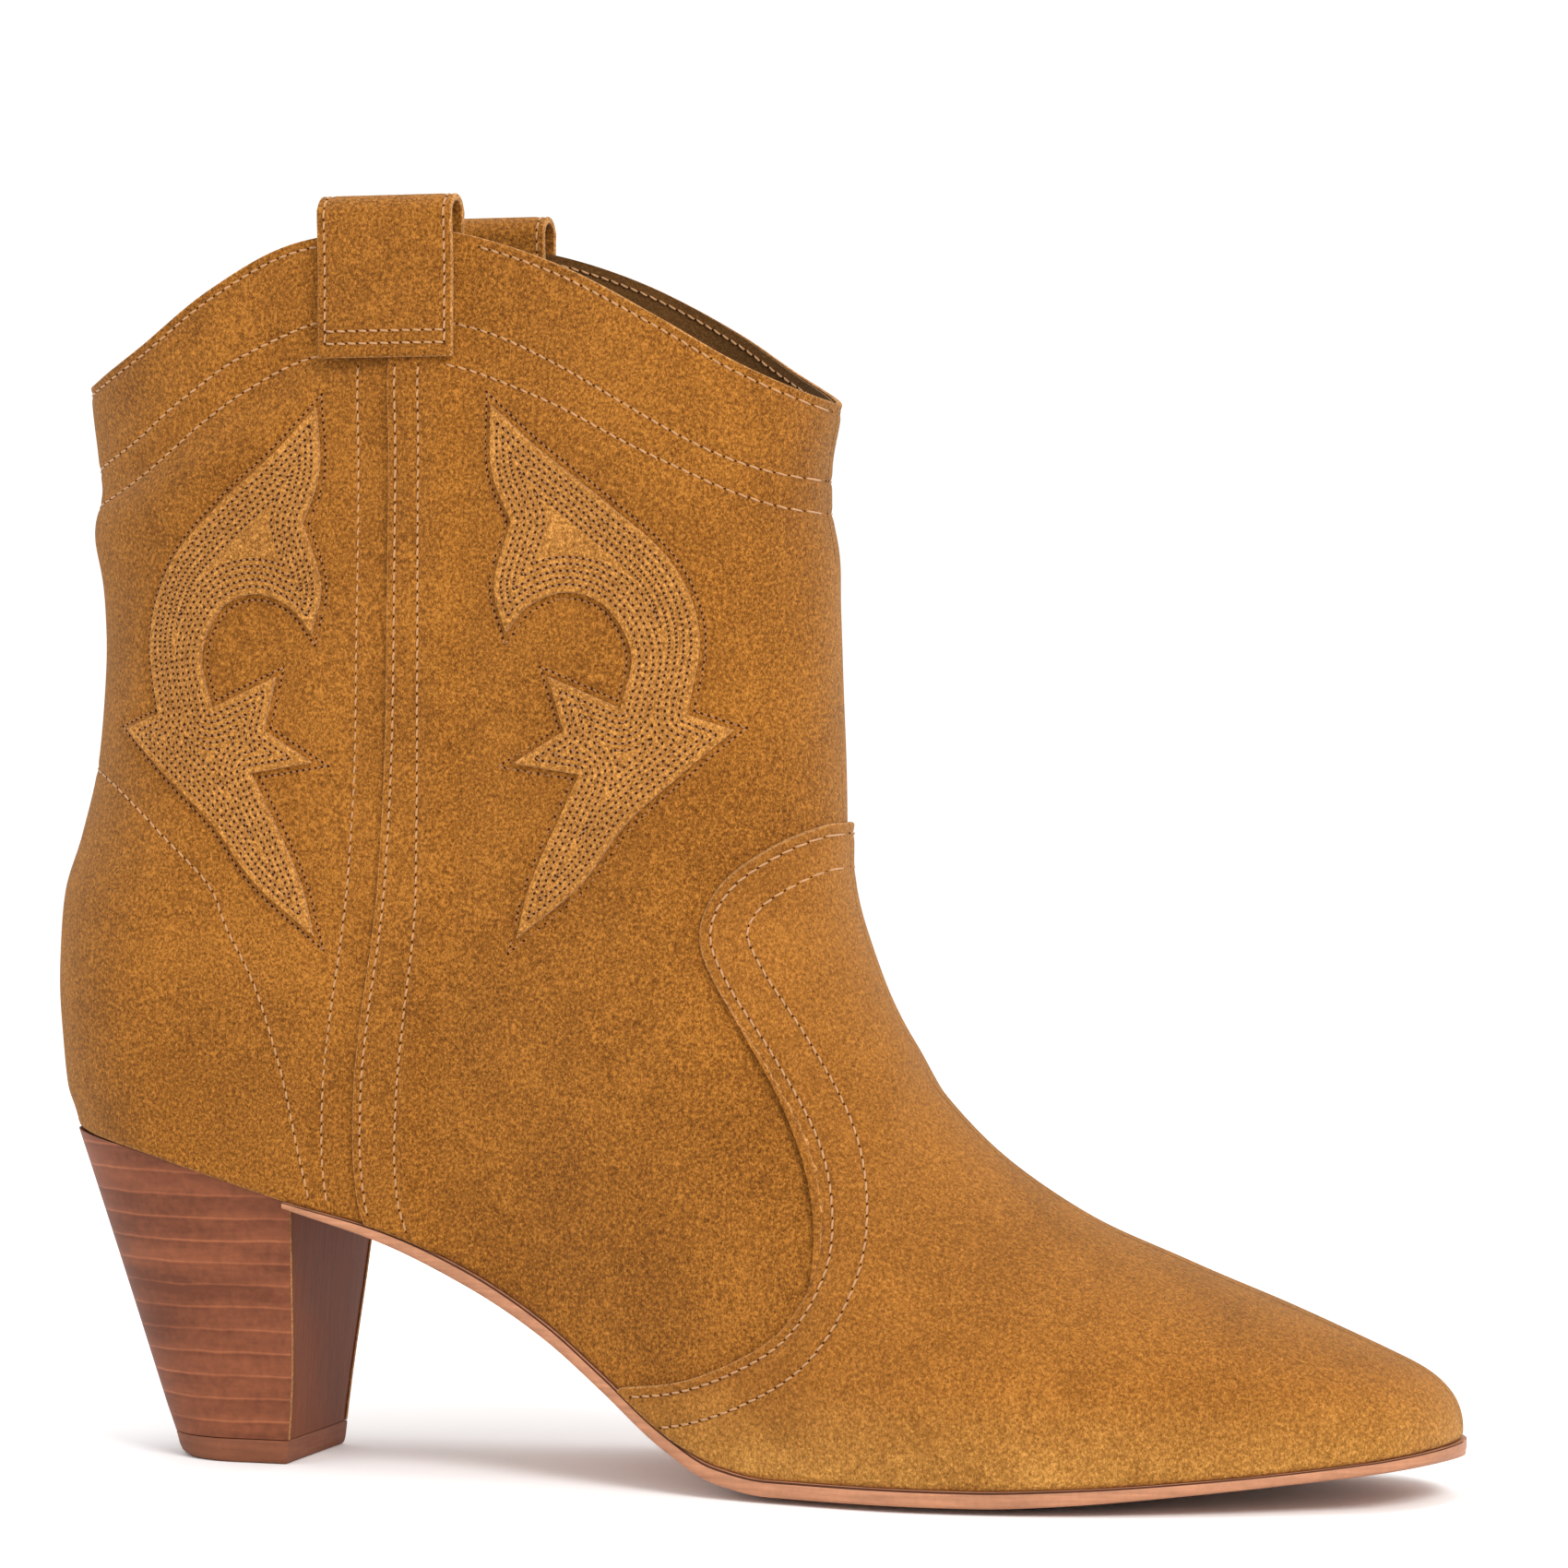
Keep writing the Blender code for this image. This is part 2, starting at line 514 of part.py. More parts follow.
def make_flames():
    outline = flame_outline()
    inside = []
    for x in np.arange(-48.0, 0.0, 6.0):
        for z in np.arange(102.0, 200.0, 6.0):
            inside.append((x, z))
    closed = np.vstack([outline, outline[:1]])
    clear = np.abs(nearest(closed, np.array(inside))[0]) > 2.5
    spots = [Vector(p) for p in outline] + [Vector(p) for p, ok in zip(inside, clear) if ok]
    count = len(outline)
    ring = [(k, (k + 1) % count) for k in range(count)]
    points, _, faces, *_ = delaunay_2d_cdt(spots, ring, [list(range(count))], 1, 1e-4)
    xz = np.array([tuple(p) for p in points])
    mirrored = xz.copy()
    mirrored[:, 0] = (FLAME_MIRROR_X - FLAME_SQUEEZE * (xz[:, 0] - FLAME_MIRROR_X)
                      - FLAME_LEAN * (xz[:, 1] - FLAME_LEAN_Z))
    for place, pattern in (("front", xz), ("back", mirrored)):
        for side_name, side in (("lateral", -1.0), ("medial", 1.0)):
            sheet = np.column_stack([pattern, np.full(len(pattern), side)])
            shell(f"flame_{place}_{side_name}", sheet, [list(f) for f in faces], FLAME, "suede_dark")


# ---------------------------------------------------------------- pull straps
def strap_path():
    """(depth, z) of the strap's middle: up the outside, over the top, down the inside."""
    outside = LAP_LIFT + 0.6 + STRAP_THICKNESS / 2
    inside = LINING[0] - 0.6 - STRAP_THICKNESS / 2
    radius = (outside - inside) / 2
    centre = STRAP_TOP - STRAP_THICKNESS / 2 - radius
    path = [(outside, z) for z in np.linspace(STRAP_FOOT_OUTSIDE, centre, 5)[:-1]]
    for angle in np.radians(np.linspace(0, 180, 9)):
        path.append(((outside + inside) / 2 + radius * math.cos(angle),
                     centre + radius * math.sin(angle)))
    return np.array(path + [(inside, z) for z in np.linspace(centre, STRAP_FOOT_INSIDE, 5)[1:]])


def make_straps():
    path = strap_path()
    step = np.gradient(path, axis=0)
    step /= np.hypot(step[:, 0], step[:, 1])[:, None]
    out = np.stack([step[:, 1], -step[:, 0]], 1) * STRAP_THICKNESS / 2
    section = np.vstack([path + out, (path - out)[::-1]])
    stations = STRAP_CENTRE_X + np.linspace(-0.5, 0.5, 5) * STRAP_WIDTH
    count = len(section)
    for name, side in (("pull_strap_lateral", -1.0), ("pull_strap_medial", 1.0)):
        points = []
        for x in stations:
            half = half_width(np.full(count, x), section[:, 1])
            points += [(x, side * (h + d), z) for h, (d, z) in zip(half, section)]
        faces = [list(range(count)), [k + count * (len(stations) - 1) for k in range(count)]]
        for i in range(len(stations) - 1):
            for k in range(count):
                n = (k + 1) % count
                faces.append([i * count + k, i * count + n, (i + 1) * count + n, (i + 1) * count + k])
        make_object(name, points, split_ends(faces[:2], count) + faces[2:], "suede")


def split_ends(ends, count):
    """The two end caps of a folded ribbon as quads between its outer and inner side."""
    quads = []
    for loop in ends:
        for k in range(count // 2 - 1):
            quads.append([loop[k], loop[k + 1], loop[count - 2 - k], loop[count - 1 - k]])
    return quads


# ---------------------------------------------------------------- bottom parts
def plate(name, stations, half, middle, low, high, look, dome=0.0, **finish):
    """A board across the boot: half width, middle y and two heights at each station."""
    across = np.array([-1.0, -SOLE_FLAT, 0.0, SOLE_FLAT, 1.0])
    points, faces, count = [], [], len(across)
    domes = np.broadcast_to(dome, len(stations))
    for x, h, y, bottom, top, drop in zip(stations, half, middle, low, high, domes):
        points += [(x, y + h * a, bottom - drop * (abs(a) < 1)) for a in across]
        points += [(x, y + h * a, top) for a in across]
    ring = 2 * count
    loop = list(range(count)) + list(range(ring - 1, count - 1, -1))
    for i in range(len(stations) - 1):
        for a, b in zip(loop, loop[1:] + loop[:1]):
            faces.append([i * ring + a, i * ring + b, (i + 1) * ring + b, (i + 1) * ring + a])
    for i in (0, len(stations) - 1):
        faces += [[i * ring + k, i * ring + k + 1, i * ring + count + k + 1, i * ring + count + k]
                  for k in range(count - 1)]
    return make_object(name, points, faces, look, **finish)


def inner_plan(x):
    """Half width of the inner boards, which follow the upper's plan at a smaller size."""
    back, front = BACK_LINE[1][0], TOE_POINT[0]
    scale = (front - back) / (front - back - 2 * INNER_INSET)
    outer_x = (back + front) / 2 + (x - (back + front) / 2) * scale
    return half_width(outer_x, feather(outer_x) + 3.0) * (1 - INNER_INSET / 27.0)


def board_stations(back, front, count):
    """Station places from back to front, closer together at the two ends."""
    share = (1 - np.cos(np.linspace(0, math.pi, count))) / 2
    return back + (front - back) * (0.55 * share + 0.45 * np.linspace(0, 1, count))


def sock_low(x):
    """Underside of the sock lining: it rises over the heel pad."""
    over_pad = 1 - smoothstep((x - PAD_FRONT_X - 1.0) / 22.0)
    rise = PAD_LOW + PAD_THICKNESS + LAYER_GAP - SOCK_LOW
    return feather(x) + SOCK_LOW + rise * over_pad


def make_boards():
    back = BACK_LINE[1][0] + INNER_INSET + 0.6
    front = TOE_POINT[0] - INNER_INSET - 2.6
    x = board_stations(back, front, 30)
    base, middle, half = feather(x), centre_y(x, feather(x)), inner_plan(x)
    insole = plate("insole_board", x, half, middle, base + INSOLE_LOW, base + INSOLE_HIGH, "board")
    plate("sock_lining", x, half - 0.4, middle, sock_low(x), sock_low(x) + SOCK_THICKNESS, "lining")

    x = board_stations(PAD_BACK_X, PAD_FRONT_X, 9)
    low = feather(x) + PAD_LOW
    half = (inner_plan(x) - 3.0) * np.sqrt(np.minimum(1, 0.35 + 8.0 * np.abs(
        (x - PAD_BACK_X) * (PAD_FRONT_X - x)) / (PAD_FRONT_X - PAD_BACK_X)**2))
    plate("heel_pad", x, half, 0 * x, low, low + PAD_THICKNESS, "foam")

    x = np.linspace(SHANK_BACK_X, SHANK_FRONT_X, 16)
    low = feather(x) + FILLER[0]
    plate("shank", x, 0 * x + SHANK_WIDTH / 2, centre_y(x, feather(x)), low, low + SHANK_THICKNESS,
          "steel", roughness=0.35, metallic=1.0)
    x = board_stations(SHANK_FRONT_X + 1.0, 104.0, 14)
    plate("bottom_filler", x, inner_plan(x) - 5.0, centre_y(x, feather(x)),
          feather(x) + FILLER[0], feather(x) + FILLER[1], "cork")
    return insole


def make_outsole():
    breast = float(heel_breast(48.0)) + LAYER_GAP
    tip = TOE_POINT[0] + SOLE_MARGIN
    x = np.unique(np.concatenate([board_stations(breast, TREAD_HEEL_END, 17),
                                  np.linspace(TREAD_HEEL_END, TREAD_TOE_END, 5),
                                  TREAD_TOE_END + (tip - TREAD_TOE_END)
                                  * (1 - (1 - np.linspace(0, 1, 14))**1.7)]))
    inner_x = np.where(x > TREAD_TOE_END,
                       TREAD_TOE_END + (x - TREAD_TOE_END) * (TOE_POINT[0] - 0.1 - TREAD_TOE_END)
                       / (tip - TREAD_TOE_END), x)
    half = half_width(inner_x, feather(inner_x)) + SOLE_MARGIN
    top, thick = feather(x), sole_thickness(x)
    plate("outsole", x, half, centre_y(x, top), top - thick, top, "sole",
          dome=SOLE_DOME * thick / SOLE_THICKNESS, roughness=0.55)


# ---------------------------------------------------------------- heel
def heel_outline(z, inset, share):
    """(x, y) round the heel at height z: share 0 and 1 are the two breast corners."""
    breast = heel_breast(z)
    back = heel_back(z) + inset
    half = heel_half(z) - inset
    corner = breast - 0.38 * (breast - back)     # the straight sides end here
    turn = (np.clip((share - HEEL_FLAT) / (1 - 2 * HEEL_FLAT), 0, 1) - 0.5) * math.pi
    along_flat = np.minimum(share, 1 - share) / HEEL_FLAT
    x = np.where(along_flat < 1, breast + (corner - breast) * along_flat,
                 corner - (corner - back) * np.cos(turn))
    y = half * np.sign(turn) * np.abs(np.sin(turn))**0.9
    return x, y


def heel_rings(top_gap, bottom, inset, count):
    """Rings of the heel's side from under the slanted seat down to a flat bottom."""
    shares = np.linspace(0, 1, HEEL_POINTS)
    rings = []
    for t in np.linspace(0, 1, count):
        z = np.full(HEEL_POINTS, 55.0)
        for _ in range(12):
            x, y = heel_outline(z, inset, shares)
            z = (feather(x) - top_gap) * (1 - t) + bottom * t
        rings.append(np.column_stack([x, y, z]))
    return rings


def cap_rings():
    shares = np.linspace(0, 1, HEEL_POINTS)
    rings = []
    for height in (CAP_THICKNESS, 0.0):
        z = np.full(HEEL_POINTS, height)
        rings.append(np.column_stack([*heel_outline(z, 0.0, shares), z]))
    return rings


def solid_heel(name, rings, front_inset, look):
    """A solid through the rings, capped on top, underneath and at the breast."""
    points, faces, size = [], [], HEEL_POINTS
    for ring in rings:
        limit = heel_breast(ring[:, 2]) - front_inset
        points += [(min(x, edge), y, z) for (x, y, z), edge in zip(ring, limit)]
    for i in range(len(rings) - 1):
        for k in range(size):
            n = (k + 1) % size
            faces.append([i * size + k, i * size + n, (i + 1) * size + n, (i + 1) * size + k])
    for i in (0, len(rings) - 1):
        for k in range(size // 2):
            corners = dict.fromkeys((k, k + 1, size - 2 - k, size - 1 - k))
            faces.append([i * size + v for v in corners])
    return make_object(name, points, faces, look, roughness=0.5)


def make_heel_cover():
    """The stacked-look leather round the sides and back, and the breast cover."""
    top, bottom = LAYER_GAP, CAP_THICKNESS + LAYER_GAP
    outer = heel_rings(top, bottom, 0.0, HEEL_RINGS)
    inner = heel_rings(top, bottom, COVER_THICKNESS, HEEL_RINGS)
    points, faces, size, count = [], [], HEEL_POINTS, HEEL_RINGS
    for o, n in zip(outer, inner):
        points += [tuple(p) for p in o] + [tuple(p) for p in n]
    ring = 2 * size
    for i in range(count - 1):
        for k in range(size - 1):
            for start, end in ((k, k + 1), (size + k + 1, size + k)):
                faces.append([i * ring + start, i * ring + end, (i + 1) * ring + end,
                              (i + 1) * ring + start])
        for k in (0, size - 1):
            faces.append([i * ring + k, i * ring + size + k, (i + 1) * ring + size + k,
                          (i + 1) * ring + k])
    for i in (0, count - 1):
        for k in range(size - 1):
            faces.append([i * ring + k, i * ring + k + 1, i * ring + size + k + 1, i * ring + size + k])
    make_object("heel_wrap", points, faces, "stack", roughness=0.5)

    side_gap = COVER_THICKNESS + LAYER_GAP
    points, faces = [], []
    across = np.linspace(-1, 1, 5)
    heights = np.linspace(0, 1, 6)
    for t in heights:
        seat = float(feather(-91.0)) - top - 0.3
        z = seat * (1 - t) + bottom * t
        half = float(heel_half(z)) - side_gap
        for offset in (0.0, -COVER_THICKNESS):
            points += [(float(heel_breast(z)) + offset, half * a, z) for a in across]
    ring = 2 * len(across)
    loop = list(range(5)) + list(range(ring - 1, 4, -1))
    for i in range(len(heights) - 1):
        for a, b in zip(loop, loop[1:] + loop[:1]):
            faces.append([i * ring + a, i * ring + b, (i + 1) * ring + b, (i + 1) * ring + a])
    for i in (0, len(heights) - 1):
        faces += [[i * ring + k, i * ring + k + 1, i * ring + 5 + k + 1, i * ring + 5 + k]
                  for k in range(4)]
    make_object("heel_breast_cover", points, faces, "stack", roughness=0.5)


# ---------------------------------------------------------------- fasteners
def turned(name, place, profile, look, cutter=False):
    """A turned pin from (radius, z) pairs, top to bottom, standing at place (x, y)."""
    sides = 12
    points, faces = [], []
    for radius, z in profile:
        for k in range(sides):
            angle = 2 * math.pi * k / sides
            points.append((place[0] + radius * math.cos(angle), place[1] + radius * math.sin(angle), z))
    for i in range(len(profile) - 1):
        for k in range(sides):
            n = (k + 1) % sides
            faces.append([i * sides + k, i * sides + n, (i + 1) * sides + n, (i + 1) * sides + k])
    faces += [list(range(sides)), [k + sides * (len(profile) - 1) for k in range(sides)]]
    made = make_object(name, points, faces, look, roughness=0.35, metallic=1.0)
    if cutter:
        made.hide_render = True
        made.display_type = "WIRE"
    return made


def cut(target, cutter):
    """Takes the cutter out of the target; the EXACT solver needs overlapping faces to be off."""
    hole = target.modifiers.new("hole_" + cutter.name, "BOOLEAN")
    hole.operation = "DIFFERENCE"
    hole.solver = "EXACT"
    hole.object = cutter


def make_fasteners(insole, block, cap):
    for k, place in enumerate(NAIL_PLACES, 1):
        head = float(feather(place[0])) + INSOLE_LOW + 1.0
        turned(f"heel_nail_{k}", place, ((NAIL_HEAD_RADIUS, head), (NAIL_HEAD_RADIUS, head - 0.7),
                                         (NAIL_RADIUS, head - 1.2), (NAIL_RADIUS, head - 17.0),
                                         (0.3, head - 19.0)), "steel")
        cut(insole, turned(f"cutter_nail_head_{k}", place, ((NAIL_HEAD_HOLE, head + 6.0),
                                                          (NAIL_HEAD_HOLE, head - 4.0)), "steel", True))
        cut(block, turned(f"cutter_nail_{k}", place, ((NAIL_HOLE, head + 4.0),
                                                    (NAIL_HOLE, head - 21.0)), "steel", True))
    head = float(feather(SCREW_X)) + INSOLE_LOW + 1.0
    place = (SCREW_X, 0.0)
    turned("heel_screw", place, ((SCREW_HEAD_RADIUS, head), (SCREW_HEAD_RADIUS, head - 0.8),
                                 (SCREW_RADIUS, head - 2.2), (SCREW_RADIUS, head - 30.0),
                                 (0.5, head - 34.0)), "steel")
    cut(insole, turned("cutter_screw_head", place, ((SCREW_HEAD_HOLE, head + 6.0),
                                                  (SCREW_HEAD_HOLE, head - 6.0)), "steel", True))
    cut(block, turned("cutter_screw", place, ((SCREW_HOLE, head + 4.0),
                                            (SCREW_HOLE, head - 35.5)), "steel", True))
    for k, x in enumerate(PIN_PLACES, 1):
        foot = CAP_THICKNESS / 2
        turned(f"heel_cap_pin_{k}", (x, 0.0), ((0.8, foot + PIN_LENGTH), (PIN_RADIUS, foot + PIN_LENGTH - 1),
                                               (PIN_RADIUS, foot)), "steel")
        bore = turned(f"cutter_pin_{k}", (x, 0.0), ((PIN_HOLE, foot + PIN_LENGTH + GAP),
                                                    (PIN_HOLE, foot - GAP)), "steel", True)
        cut(block, bore)
        cut(cap, bore)


def main():
    for old in list(bpy.data.objects):
        bpy.data.objects.remove(old)
    make_panels()
    make_linings()
    make_flames()
    make_straps()
    insole = make_boards()
    make_outsole()
    inset = COVER_THICKNESS + LAYER_GAP
    block = solid_heel("heel_block", heel_rings(LAYER_GAP, CAP_THICKNESS + LAYER_GAP, inset, HEEL_RINGS),
                       inset, "wood")
    make_heel_cover()
    cap = solid_heel("heel_cap", cap_rings(), 0.0, "cap")
    make_fasteners(insole, block, cap)


main()
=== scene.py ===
"""Visual model of a suede pull-on western ankle boot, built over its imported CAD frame.

Row frame: +X towards the toe, +Y to the inner side, +Z up.  The shape functions work in
millimetres of the boot's pattern; make_piece shifts and scales them to the row frame.
"""
import math

import bpy
import numpy as np
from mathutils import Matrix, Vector
from mathutils.geometry import delaunay_2d_cdt
from mathutils.kdtree import KDTree


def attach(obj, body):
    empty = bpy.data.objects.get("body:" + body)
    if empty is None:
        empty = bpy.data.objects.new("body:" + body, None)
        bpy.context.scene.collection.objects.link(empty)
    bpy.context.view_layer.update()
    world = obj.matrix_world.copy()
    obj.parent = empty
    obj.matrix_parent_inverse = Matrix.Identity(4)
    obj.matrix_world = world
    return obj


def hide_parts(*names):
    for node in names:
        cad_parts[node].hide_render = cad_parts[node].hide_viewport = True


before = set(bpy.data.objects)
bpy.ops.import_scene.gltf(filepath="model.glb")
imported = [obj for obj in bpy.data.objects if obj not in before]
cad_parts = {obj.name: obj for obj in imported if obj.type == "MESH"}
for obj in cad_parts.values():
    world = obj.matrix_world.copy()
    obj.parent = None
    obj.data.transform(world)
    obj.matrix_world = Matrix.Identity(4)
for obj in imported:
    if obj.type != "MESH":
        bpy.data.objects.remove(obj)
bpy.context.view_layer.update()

MM = 0.001
FINE = 1.0        # mesh spacing of the upper, in mm

# ---------------------------------------------------------------- sizes (mm)
FRAME_SHIFT = (8.45, 1.0, 0.0)   # from the pattern's own x, y to the row frame
PANEL_THICKNESS = 1.2
LINING_BACK = 2.15       # depth of the lining's inner face below the skin
EDGE_ROUNDING = 0.5      # radius of a cut leather edge
FEATHER_GAP = 0.05       # between the upper's lower edge and the sole
FEATHER_ROUNDING = 1.4   # the upper turns in above the sole over this height
FEATHER_TUCK = 0.9       # and by this much
THINNEST = 0.25          # leather is nowhere thinner
LAP_LIFT = 1.3           # how far a lapping edge rides up over its neighbour
LAP_WIDTH = 7.0
LAP_FLAT = 2.5           # a lapping edge stays fully lifted this far past the lap
LAP_RAMP = 6.5           # and comes down over this length
FLAME_HEIGHT = 1.05      # thickness of the scroll overlays
COLLAR_BAND = 0.15       # share of the panel height covered by the collar facing
SOLE_THICKNESS = 3.0
SOLE_DOME = 1.2
SOLE_MARGIN = 0.7
TREAD_HEEL_END = 8.0
TREAD_TOE_END = 46.0
CAP_THICKNESS = 4.6
COVER_THICKNESS = 1.0
LAYER_GAP = 0.12
HEEL_LAYERS = 14         # of the heel's stacked leather
HEEL_TOP = 61.0
INNER_INSET = 4.6        # from the upper's plan in to the inner boards
SOCK_LOW, SOCK_THICKNESS = 4.8, 1.0
PAD_LOW, PAD_THICKNESS = 5.0, 2.6
PAD_BACK_X, PAD_FRONT_X = -127.0, -84.0
PAD_COVER_GAP = 0.4
STRAP_WIDTH = 26.5
STRAP_THICKNESS = 1.4
STRAP_CENTRE_X = -68.2
STRAP_TOP = 238.2
STRAP_FOOT_OUTSIDE = 208.0
STRAP_FOOT_INSIDE = 204.0
STRAP_BEND_Z = 224.0     # the strap starts to leave the panel here
STRAP_LOOP_RADIUS = 3.3
STRAP_CLEARANCE = 0.15   # from the leather that the strap lies on
STRAP_CROWN = 0.35       # soft unevenness along the strap
STRAP_ROW = 1.5          # row of stitches in from the strap's edges
STRAP_FOOT_ROWS = (2.6, 4.9)     # and rows up from its foot
SEAM_PITCH = 2.1         # stitch lengths
MOTIF_PITCH = 1.3
GROOVE_DEPTH = 0.28      # how far a row of stitches pulls the leather down
GROOVE_WIDTH = 0.75
STRAP_GROOVE_WIDTH = 0.7
CUT_EDGE = 0.3           # faces this near to a cut edge show the leather's core

LATERAL, MEDIAL = -1.0, 1.0      # the outer and the inner side of the boot
BLOCK = 4000             # points handled at once when looking for the nearest point

# Side-view lines of the outer skin, (x, z).
FRONT_LINE = ((11.2, 245), (10.6, 212), (10, 198), (8.8, 188), (9.6, 176),
              (10.4, 160), (11, 140), (11.4, 122), (12, 111.5), (14.6, 101.2),
              (19.8, 88), (28, 75), (41, 61.3), (57.5, 50.2), (76, 42),
              (94.7, 34.4), (112.5, 26.8), (120.3, 22.9), (124.6, 18.8), (126.4, 14.2),
              (126.3, 9), (125.4, 3))
BACK_LINE = ((-137, 40), (-140, 62), (-142.7, 71), (-144.1, 86), (-143.7, 98),
             (-142.3, 109), (-139, 119), (-135.8, 133), (-134.8, 150),
             (-135.3, 163), (-136.8, 178), (-137.4, 190), (-139, 205), (-140.5, 245))
# The places on the top line just inside its two ends.
TOP_BACK_START, TOP_FRONT_START = (-138.2, 204.7), (9.5, 200.2)
TOP_LINE = ((-139, 204.6), (-133, 205.6), (-120, 211.4), (-104.6, 221.4), (-88.6, 229.2),
            (-70, 231.8), (-55, 230.9), (-35.8, 224.7), (-16.5, 214.8), (-3, 206.6),
            (10.6, 199.6))
# Underside of the upper and of its lasted edge, z at each x.
FEATHER_LINE = ((-150, 62.6), (-138, 62.6), (-130, 61.6), (-118, 59.2), (-105, 55.4),
                (-91, 51.3), (-70, 45.8), (-54, 39.2), (-38, 29.8), (-26, 20.9),
                (-14, 11.6), (-3, 5.9), (TREAD_HEEL_END, SOLE_THICKNESS + SOLE_DOME),
                (TREAD_TOE_END, SOLE_THICKNESS + SOLE_DOME), (65, 4.9), (85, 6.2),
                (105, 8), (130, 11))
# Thickness of the sole along the boot: skived at the heel breast, thinner at the toe.
SOLE_LINE = ((-89, 1.2), (-50, SOLE_THICKNESS), (TREAD_TOE_END, SOLE_THICKNESS),
             (95, 2.1), (130, 1.9))
SEAM_LINE = ((45, -72.9), (52, -75), (62, -75.8), (72, -75.5), (85, -74),
             (99, -71.9), (112, -70.4), (140, -68.7), (170, -68.2), (235, -67.9))
VAMP_EDGE = ((11.9, 122.6), (3.1, 118), (-5.2, 111), (-8.5, 102), (-5.2, 92.5),
             (4.2, 77.6), (13.2, 61.6), (16.8, 48), (15.4, 38.8), (9.8, 30.6),
             (0.4, 24.8), (-10.5, 20.8), (-23, 19))

TOE_POINT = (126.4, 15)
# Front edge of the shaft's front panel, hidden under the vamp.
PANEL_FOOT = ((23.5, 90), (20.8, 82), (21.2, 70), (22.8, 57), (21.8, 43),
              (13.5, 27.5), (-1, 17.5), (-14, 12.6))

# Half widths and roundings of the skin.
LOW_WIDTH = ((-150, 27), (-90, 27), (-70, 26.2), (-45, 27.2), (-20, 31.5),
             (5, 36.5), (35, 39.8), (60, 38.4), (85, 33), (105, 26),
             (120, 19.5), (130, 15))
HIGH_WIDTH = ((40, 27), (62, 27.5), (85, 29), (110, 27.5), (130, 27),
              (160, 27), (190, 27), (245, 26.5))
FRONT_ROUNDING = ((9, 36), (13, 36), (30, 38), (60, 33), (95, 20),
                  (115, 14), (128, 12))
BACK_ROUNDING = ((40, 27), (90, 29), (130, 32), (200, 40), (245, 42))
CENTRE_LINE = ((-150, 0), (-90, 0), (-40, 1.5), (0, 0.5), (35, -1),
               (75, 1.5), (105, 4), (130, 5.5))

# Western flame scroll on the front panel; each run is smooth and ends in a point.
FLAME_RUNS = (
    ((-48, 199), (-38, 190.2), (-26, 181), (-14, 170), (-9, 157), (-11, 142)),
    ((-11, 142), (-3, 139.2)),
    ((-3, 139.2), (-13, 130.2), (-22.5, 121.5), (-31, 110.5), (-43, 100.8)),
    ((-43, 100.8), (-40, 112), (-31, 131)),
    ((-31, 131), (-44, 133)),
    ((-44, 133), (-34, 139)),
    ((-34, 139), (-37, 149)),
    ((-37, 149), (-23, 143.2)),
    ((-23, 143.2), (-21, 153), (-25.5, 161.5), (-33, 164.4), (-40.5, 162), (-45, 157)),
    ((-45, 157), (-47.3, 166), (-44, 177.5)),
    ((-44, 177.5), (-47.8, 187), (-48, 199)),
)
FLAME_MIRROR_X = -64.5
FLAME_SQUEEZE = 0.94     # the scroll on the back panel is this much narrower
FLAME_LEAN = 0.04        # and leans back by this much of its height above FLAME_LEAN_Z
FLAME_LEAN_Z = 140.0

# Soft rolls below the top line: height all round, more at the back, depth below it, breadth.
ROLLS = ((0.45, 0.45, 29, 6), (-0.35, -0.4, 20.5, 4))
# Unevenness of the leather: height, lengths along x, z and y, phase.
SWELLS = ((0.40, 17, 29, 23, 0), (0.35, 31, -19, 15, 1),
          (0.16, 8.5, 12, -11, 2), (0.10, 5.1, -6.3, 9, 0))

# Heel: pitch of its back edge and breast, (z, x), and its half width, (z, y).
HEEL_FLAT = 0.16         # share of the outline taken by each straight side
HEEL_BACK = ((0, -119.8), (4, -120.9), (10, -123.1), (35, -131.2), (64, -140.6))
HEEL_BREAST = ((0, -93.6), (20, -91.7), (52, -89.4))
HEEL_HALF = ((0, 15.2), (12, 16.2), (35, 20.8), (64, 27.2))


# ---------------------------------------------------------------- curves
def graph(points):
    """A smooth y(x) through the points that never overshoots between them."""
    xs, ys = (np.array(column, dtype=float) for column in zip(*points))
    steps = np.diff(xs)
    slopes = np.diff(ys) / steps
    tangents = np.zeros(len(xs))
    for k in range(1, len(xs) - 1):
        if slopes[k - 1] * slopes[k] > 0:
            left, right = 2 * steps[k] + steps[k - 1], steps[k] + 2 * steps[k - 1]
            tangents[k] = (left + right) / (left / slopes[k - 1] + right / slopes[k])
    tangents[0], tangents[-1] = slopes[0], slopes[-1]

    def value(x):
        x = np.clip(np.asarray(x, dtype=float), xs[0], xs[-1])
        k = np.clip(np.searchsorted(xs, x) - 1, 0, len(steps) - 1)
        t = (x - xs[k]) / steps[k]
        return ((2 * t**3 - 3 * t**2 + 1) * ys[k] + (t**3 - 2 * t**2 + t) * steps[k] * tangents[k]
                + (3 * t**2 - 2 * t**3) * ys[k + 1] + (t**3 - t**2) * steps[k] * tangents[k + 1])
    return value


